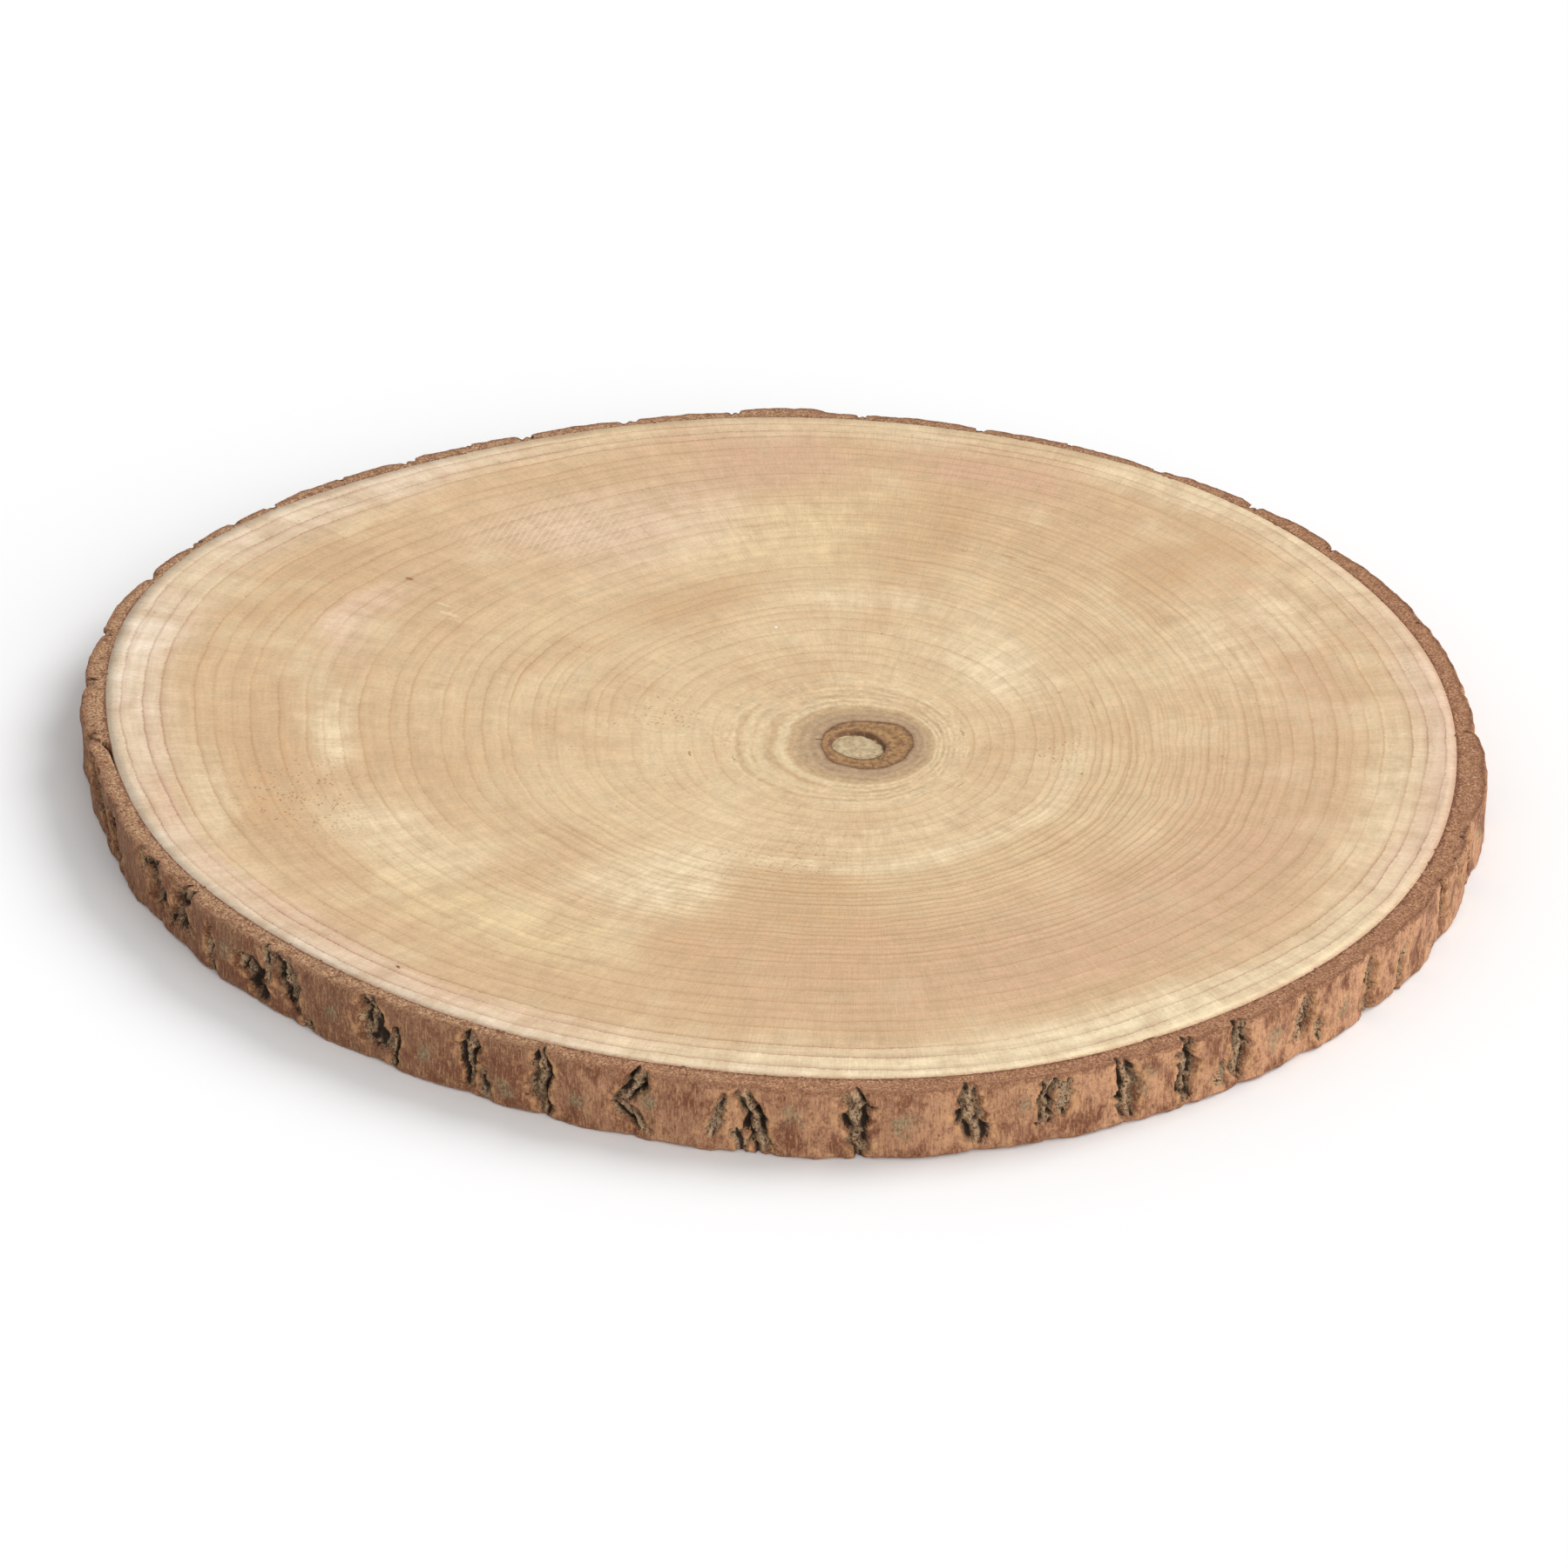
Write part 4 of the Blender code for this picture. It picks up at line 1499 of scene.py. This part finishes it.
        rough = 0.30 * self.wall_noise(turn, height, 1.3, 1.6, 90)
        rough += 0.16 * self.wall_noise(turn, height, 0.7, 0.8, 91)
        floor = self.ridge_depth + rough + (1.0 - self.ridge_depth) * smooth_step(share, 0.1, 0.6)
        depth = furrow.depth * inside * taper * np.clip(floor, 0.1, 1.1) + self.fissure_depth * fissure_and_shade
        lip = np.exp(-(((share - 1.2) * half_width / 1.2) ** 2)) * np.sqrt(taper)
        return depth, inside * np.sqrt(taper), fissure_and_shade, lip

    def wall(self, turn: np.ndarray, height: np.ndarray) -> tuple[np.ndarray, dict[str, np.ndarray]]:
        """Works out the bark's wall.

        Formula: the radius is the outline's, less the swell's mean, plus the plates' relief, the grain,
        lumps, flakes and fibres of noise, less the greatest depth of any crack.

        Args:
            turn: Angles in radians.
            height: Heights in millimetres.

        Returns:
            The radius in millimetres, and the masks that the material reads.
        """
        rng = np.random.default_rng(self.seed)
        furrows = self.furrows(rng)
        relief = self.plate_relief(turn, furrows) + self.grain_relief(turn, height, rng)
        depth = np.zeros_like(turn)
        masks = {name: np.zeros_like(turn) for name in ("crack", "fissure_and_shade", "lip")}
        for number, furrow in enumerate(furrows):
            seed = self.crack_seed + self.seeds_apart * number
            cut, inside, fissure_and_shade, lip = self.crack(turn, height, furrow, seed)
            depth = np.maximum(depth, cut)
            for name, field in zip(masks, (inside, fissure_and_shade, lip)):
                masks[name] = np.maximum(masks[name], field)
        rough = 0.16 * np.abs(self.wall_noise(turn, height, 3.4, 8.0, 83))
        for size, wide_by, high_by, seed in self.roughness:
            rough += size * self.wall_noise(turn, height, wide_by, high_by, seed)
        relief += rough * (1.0 - 0.6 * masks["crack"])
        radius = self.outline.wall_radius(turn, height) - self.plate_swell + relief - depth
        masks["lip"] *= 1.0 - masks["crack"]
        masks["lichen"] = self.lichen(turn, height) * (1.0 - masks["crack"])
        return radius, masks

    def side_light_and_tone(self, turn: np.ndarray) -> np.ndarray:
        """Gives the painted light and shade by side, lightest on the right where the lamps stand, with a
        random tone for each plate.

        Args:
            turn: Angles in radians.

        Returns:
            The share at each angle, about nought to one.
        """
        angles, shares = zip(*self.painted_side_light)
        side = np.interp(np.degrees(turn), angles, shares, period=360.0)
        return side + 0.1 * self.wall_noise(turn, np.zeros_like(turn), 16.0, 1.0, 121)

    def lichen(self, turn: np.ndarray, height: np.ndarray) -> np.ndarray:
        """Gives the lichen: round spots with noisy edges, one at each place.

        Args:
            turn: Angles in radians.
            height: Heights in millimetres.

        Returns:
            A field from nought to one.
        """
        field = np.zeros_like(turn)
        edge = 0.55 * self.wall_noise(turn, height, 2.4, 2.4, 95)
        edge += 0.35 * self.wall_noise(turn, height, 1.1, 1.1, 96)
        for angle, level, half_width in self.lichen_spots:
            across = turn_between(turn, np.radians(angle)) * self.outline.mean_radius / half_width
            up = (height - level) / (half_width * 1.1)
            field = np.maximum(field, 1.0 - smooth_step(np.hypot(across, up) + edge, 0.55, 1.15))
        return field

    def sawn_face(
        self, turn: np.ndarray, share: np.ndarray, rim_radius: np.ndarray
    ) -> tuple[np.ndarray, np.ndarray, np.ndarray]:
        """Works out a sawn face of the bark, seen as the top one.

        Formula: the radius goes by its share from inside the wood's edge to the rim. The drop below
        the wood's face is even, with grit of noise, plus the gap where bark and wood have parted.

        Args:
            turn: Angles in radians.
            share: The share of the way out, from nought to one.
            rim_radius: The radius of the rim.

        Returns:
            The radius, the drop and the gap, the last from nought to one.
        """
        inner = self.outline.wood_edge(turn) - self.inner_overlap
        radius = inner + (rim_radius - inner) * share
        grit = 0.6 * self.wall_noise(turn, radius, 0.9, 0.9, 101)
        grit += 0.4 * self.wall_noise(turn, radius, 2.2, 2.0, 102)
        degrees, radii = zip(*self.parting)
        angles = np.radians(degrees)
        line = np.interp(turn, angles, radii)
        ends = (turn > angles[0]) & (turn < angles[-1])
        gap = np.exp(-(((radius - line) / (0.62 * self.parting_width)) ** 2)) * ends
        return radius, self.face_drop + self.face_grit * grit, gap

    def build(self) -> bpy.types.Object:
        """Makes the bark's mesh: out over the top face, down the wall, and in underneath.

        Returns:
            The finished piece.
        """
        outline = self.outline
        thickness = outline.thickness
        rng = np.random.default_rng(self.seed)
        turn = self.column_turns(self.furrows(rng))
        edge = self.rim * np.array(self.rim_steps)
        between = np.linspace(self.rim, thickness - self.rim, self.wall_rings)
        heights = np.concatenate([edge, between, thickness - edge[::-1]])[::-1]
        turn_wall, height_wall = np.meshgrid(turn, heights)
        radius_wall, masks = self.wall(turn_wall, height_wall)
        near_face = np.clip(1.0 - np.minimum(height_wall, thickness - height_wall) / self.rim, 0.0, 1.0)
        chip = self.mean_chip + 0.8 * self.wall_noise(turn_wall, height_wall, 4.2, 40.0, 111)
        chip += 0.45 * self.wall_noise(turn_wall, height_wall, 1.4, 40.0, 112)
        radius_wall -= chip * (1.0 - np.sqrt(1.0 - near_face**2))
        radius_wall = np.maximum(radius_wall, outline.wood_edge(turn_wall) + self.least_thickness)
        rim_top, rim_under = radius_wall[0], radius_wall[-1]

        share = np.linspace(0.0, 1.0, self.face_rings)[:, None]
        turn_face = np.broadcast_to(turn, (self.face_rings, self.columns))
        radius_top, drop, gap = self.sawn_face(turn_face, share, rim_top)
        drop_top = drop + self.parting_depth * gap + self.rim_fall * smooth_step(share, 0.85, 1.0)
        top = outline.place(turn_face, radius_top, thickness - drop_top)

        share_under = np.linspace(1.0, 0.0, self.under_rings)[:, None]
        turn_under = np.broadcast_to(turn, (self.under_rings, self.columns))
        radius_under, rise, _ = self.sawn_face(turn_under, share_under, rim_under)
        under = outline.place(turn_under, radius_under, rise * 0.5)

        wall = outline.place(turn_wall[1:-1], radius_wall[1:-1], height_wall[1:-1])
        rows = np.concatenate([top, wall, under])
        low, high = (np.array(corner) / MM for corner in CAD_BOUNDS)
        rows = np.clip(rows, low, high)

        ones, zeros = np.ones_like(turn_face), np.zeros_like(turn_wall[1:-1])
        cut = np.concatenate([ones, near_face[1:-1] ** 0.5, np.ones_like(turn_under)])
        out = np.concatenate([share * ones, np.ones_like(zeros), share_under * np.ones_like(turn_under)])
        # Painted light and shade by side, with a random tone for each plate, for the material
        side_light_and_tone = np.broadcast_to(self.side_light_and_tone(turn), cut.shape)
        attributes = {"cut": cut, "out": out, "side_light_and_tone": side_light_and_tone}
        attributes["parting"] = np.concatenate([gap, zeros, 0.0 * turn_under])
        for name, field in masks.items():
            near_rim = smooth_step(share, 0.75, 1.0) * field[0]
            near_foot = smooth_step(share_under, 0.6, 1.0) * field[-1]
            attributes[name] = np.concatenate([near_rim, field[1:-1], near_foot])
        made = grid_mesh("slice_bark", rows, None, attributes)
        made.data.materials.append(self.material())
        return made

    def material(self) -> bpy.types.Material:
        """Mixes the bark's material from the masks that its mesh holds.

        Returns:
            The finished material.
        """
        recipe = Recipe("furrowed_bark")
        wall = self.wall_colour(recipe)
        face = self.face_colour(recipe)
        grit = recipe.noise(recipe.space(0.9, 0.9, 1.0), 3.0, 0.7)
        chips = recipe.noise(recipe.space(2.6, 2.6, 2.0), 3.0, 0.7)
        worn = recipe.maths("ADD", recipe.attribute("cut"), recipe.span(chips, 0.3, 0.7, -0.55, 0.35))
        colour = recipe.blend(recipe.span(worn, 0.45, 0.8), wall, face)
        normal = recipe.bump(chips, 0.8)
        normal = recipe.bump(grit, 0.6, under=normal)
        rough = recipe.span(grit, 0.2, 0.8, 0.72, 0.92)
        return recipe.finish(colour, rough, normal, 0.3)

    def wall_colour(self, recipe: Recipe) -> Socket:
        """Colours the wall: red-brown plates in painted side light, orange fibres, lichen, pale lips and
        cracks.

        Args:
            recipe: The material's recipe.

        Returns:
            The socket of the colour.
        """
        finish = self.finish
        patch = recipe.noise(recipe.space(7.0, 7.0, 10.0), 4.0, 0.65)
        blot = recipe.noise(recipe.space(2.4, 2.4, 3.4), 4.0, 0.7)
        streak = recipe.noise(recipe.space(0.5, 0.5, 3.6), 3.0, 0.65)
        fine = recipe.noise(recipe.space(0.8, 0.8, 0.9), 3.0, 0.7)
        side_light_and_tone = recipe.attribute("side_light_and_tone")
        # Painted light and shade: the plates are lighter on the lit side and darker on the shaded side
        plate = recipe.blend(side_light_and_tone, linear(finish.shaded_plate), linear(finish.lit_plate))
        colour = recipe.blend(recipe.span(patch, 0.36, 0.58), linear(finish.dark_brown), plate)
        # More orange on the lit side, as part of the painted side light
        most = recipe.span(side_light_and_tone, 0.0, 1.0, 0.15, 0.5)
        share = recipe.maths("MULTIPLY", recipe.span(blot, 0.5, 0.68), most)
        colour = recipe.blend(share, colour, linear(finish.orange_fibre))
        layers = (
            (blot, 0.48, 0.3, 0.75, finish.dark_brown),
            (streak, 0.52, 0.66, 0.48, finish.orange_fibre),
            (streak, 0.48, 0.35, 0.55, finish.dark_brown),
            (fine, 0.45, 0.33, 0.5, finish.pit),
            (fine, 0.57, 0.69, 0.42, finish.speck),
        )
        for field, start, full, strength, tone in layers:
            colour = recipe.blend(recipe.span(field, start, full, 0.0, strength), colour, linear(tone))
        lichen = recipe.blend(recipe.span(fine, 0.4, 0.62), linear(finish.lichen_dark), linear(finish.lichen))
        share = recipe.maths("MULTIPLY", recipe.attribute("lichen"), recipe.span(blot, 0.34, 0.6, 0.15, 0.75))
        colour = recipe.blend(share, colour, lichen)
        share = recipe.maths("MULTIPLY", recipe.attribute("lip"), recipe.span(blot, 0.4, 0.64, 0.0, 0.8))
        colour = recipe.blend(share, colour, linear(finish.lip))
        tanned = recipe.span(blot, 0.4, 0.62)
        ridge = recipe.blend(tanned, linear(finish.floor_grey), linear(finish.floor_tan))
        floor = recipe.blend(recipe.span(fine, 0.38, 0.54), linear(finish.floor_dark), ridge)
        ragged = recipe.span(blot, 0.3, 0.7, -0.4, 0.4)
        inside = recipe.maths("ADD", recipe.attribute("crack"), ragged)
        colour = recipe.blend(recipe.span(inside, 0.25, 0.95), colour, floor)
        # Painted shade: the fissures darkened to near black
        deep = recipe.maths("ADD", recipe.attribute("fissure_and_shade"), recipe.span(fine, 0.3, 0.7, -0.3, 0.3))
        return recipe.blend(recipe.span(deep, 0.22, 0.6, 0.0, 0.95), colour, linear(finish.fissure_and_shade))

    def face_colour(self, recipe: Recipe) -> Socket:
        """Colours the sawn faces: granular tan, with red-brown painted shade at the wood's step and at the
        rim.

        Args:
            recipe: The material's recipe.

        Returns:
            The socket of the colour.
        """
        finish = self.finish
        grain = recipe.noise(recipe.space(0.7, 0.7, 0.7), 3.0, 0.7)
        cloud = recipe.noise(recipe.space(5.0, 5.0, 5.0), 2.0, 0.5)
        reddened = recipe.span(recipe.attribute("side_light_and_tone"), 0.2, 0.8)
        cut = recipe.blend(reddened, linear(finish.cut), linear(finish.red_cut))
        colour = recipe.blend(recipe.span(grain, 0.38, 0.56), linear(finish.cut_dark), cut)
        colour = recipe.blend(recipe.span(grain, 0.56, 0.68, 0.0, 0.8), colour, linear(finish.cut_light))
        colour = recipe.blend(recipe.span(cloud, 0.5, 0.7, 0.0, 0.35), colour, linear(finish.cut_dark))
        out = recipe.maths("ADD", recipe.attribute("out"), recipe.span(grain, 0.3, 0.7, -0.09, 0.09))
        # Painted shade: a dark line where the face steps down from the wood, and one at the rounded rim
        step_shade = recipe.span(out, 0.06, 0.3, 0.85, 0.0)
        rim_shade = recipe.span(out, 0.8, 1.05, 0.0, 0.4)
        line = recipe.maths("MAXIMUM", step_shade, rim_shade)
        colour = recipe.blend(line, colour, linear(finish.cut_edge_shade))
        # Painted shade: the parting gap and the fissures' ends on the face, near black
        gap = recipe.span(recipe.attribute("parting"), 0.2, 0.6, 0.0, 0.97)
        crack = recipe.span(recipe.attribute("fissure_and_shade"), 0.15, 0.6, 0.0, 0.9)
        return recipe.blend(recipe.maths("MAXIMUM", gap, crack), colour, linear(finish.fissure_and_shade))


class Lamp(NamedTuple):
    """A soft far light: the way to it, how wide it looks in degrees, and its strength in watts a m²."""

    name: str
    way: Direction
    breadth: float
    strength: float


@dataclass(frozen=True)
class Studio:
    """The pale floor, the soft lights and the camera at the photograph's angle."""

    floor_side: float = 12.0
    floor_depth: float = 0.02
    floor_drop: float = 0.1
    floor_colour: Colour = (253, 253, 253)
    floor_cloud: Colour = (250, 250, 250)
    sky_strength: float = 0.55
    lamps: tuple[Lamp, ...] = (
        Lamp("key", (1.6, 0.9, 1.7), 35.0, 1.55),
        Lamp("front_right", (1.3, -2.0, 0.9), 45.0, 1.45),
    )
    lens: float = 150.0
    sensor: float = 36.0
    elevation: float = 29.755
    distance: float = 1.8673
    target: tuple[float, float, float] = (0.00203, -0.0200, 0.0100)

    def lay_floor(self) -> bpy.types.Object:
        """Lays the floor just under the slice, as a thin slab whose faces point outwards.

        Returns:
            The floor.
        """
        half, top, foot = self.floor_side / 2.0, -self.floor_drop * MM, -self.floor_depth
        corners = [(x, y, z) for z in (foot, top) for y in (-half, half) for x in (-half, half)]
        faces = [(0, 2, 3, 1), (4, 5, 7, 6), (0, 1, 5, 4), (2, 6, 7, 3), (0, 4, 6, 2), (1, 3, 7, 5)]
        mesh = bpy.data.meshes.new("floor")
        mesh.from_pydata(corners, [], faces)
        floor = bpy.data.objects.new("floor", mesh)
        bpy.context.scene.collection.objects.link(floor)
        recipe = Recipe("pale_floor")
        cloud = recipe.noise(recipe.space(400.0, 400.0, 400.0), 2.0, 0.5)
        colour = recipe.blend(cloud, linear(self.floor_colour), linear(self.floor_cloud))
        floor.data.materials.append(recipe.finish(colour, 0.9, None, 0.1))
        return floor

    def light(self) -> None:
        """Lights the studio: an even white sky and two soft far lamps."""
        world = bpy.data.worlds.new("studio")
        world.use_nodes = True
        sky = world.node_tree.nodes["Background"]
        sky.inputs["Color"].default_value = (1.0, 1.0, 1.0, 1.0)
        sky.inputs["Strength"].default_value = self.sky_strength
        bpy.context.scene.world = world
        for lamp in self.lamps:
            data = bpy.data.lights.new(lamp.name, "SUN")
            data.angle = np.radians(lamp.breadth)
            data.energy = lamp.strength
            made = bpy.data.objects.new(lamp.name, data)
            made.location = lamp.way
            made.rotation_euler = (-Vector(lamp.way)).to_track_quat("-Z", "Y").to_euler()
            bpy.context.scene.collection.objects.link(made)

    def set_camera(self) -> None:
        """Sets up the camera, which looks along +Y and down on the target."""
        data = bpy.data.cameras.new("camera")
        data.lens = self.lens
        data.sensor_width = self.sensor
        camera = bpy.data.objects.new("camera", data)
        tilt = np.radians(self.elevation)
        back = self.distance * np.array([0.0, -np.cos(tilt), np.sin(tilt)])
        camera.location = np.array(self.target) + back
        camera.rotation_euler = (np.pi / 2.0 - tilt, 0.0, 0.0)
        bpy.context.scene.collection.objects.link(camera)
        bpy.context.scene.camera = camera

    def build(self) -> None:
        """Sets up the floor, the lights, the camera and plain colours."""
        self.lay_floor()
        self.light()
        self.set_camera()
        view = bpy.context.scene.view_settings
        view.view_transform = "Standard"
        view.look = "None"


def dress(piece: bpy.types.Object) -> None:
    """Makes a piece ride with the slice and stand for its solid.

    Args:
        piece: The finished piece.
    """
    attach(piece, "root")
    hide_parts("wood_slice")
    log.info("%s: %d points, %d faces", piece.name, len(piece.data.vertices), len(piece.data.polygons))


def main() -> None:
    """Builds the studio and the three pieces, and reports each."""
    logging.basicConfig(level=logging.INFO, format="%(name)s: %(message)s")
    Studio().build()
    wood = Wood()
    dress(wood.build())
    dress(Pith(wood).build())
    dress(Bark().build())


if __name__ == "__main__":
    main()
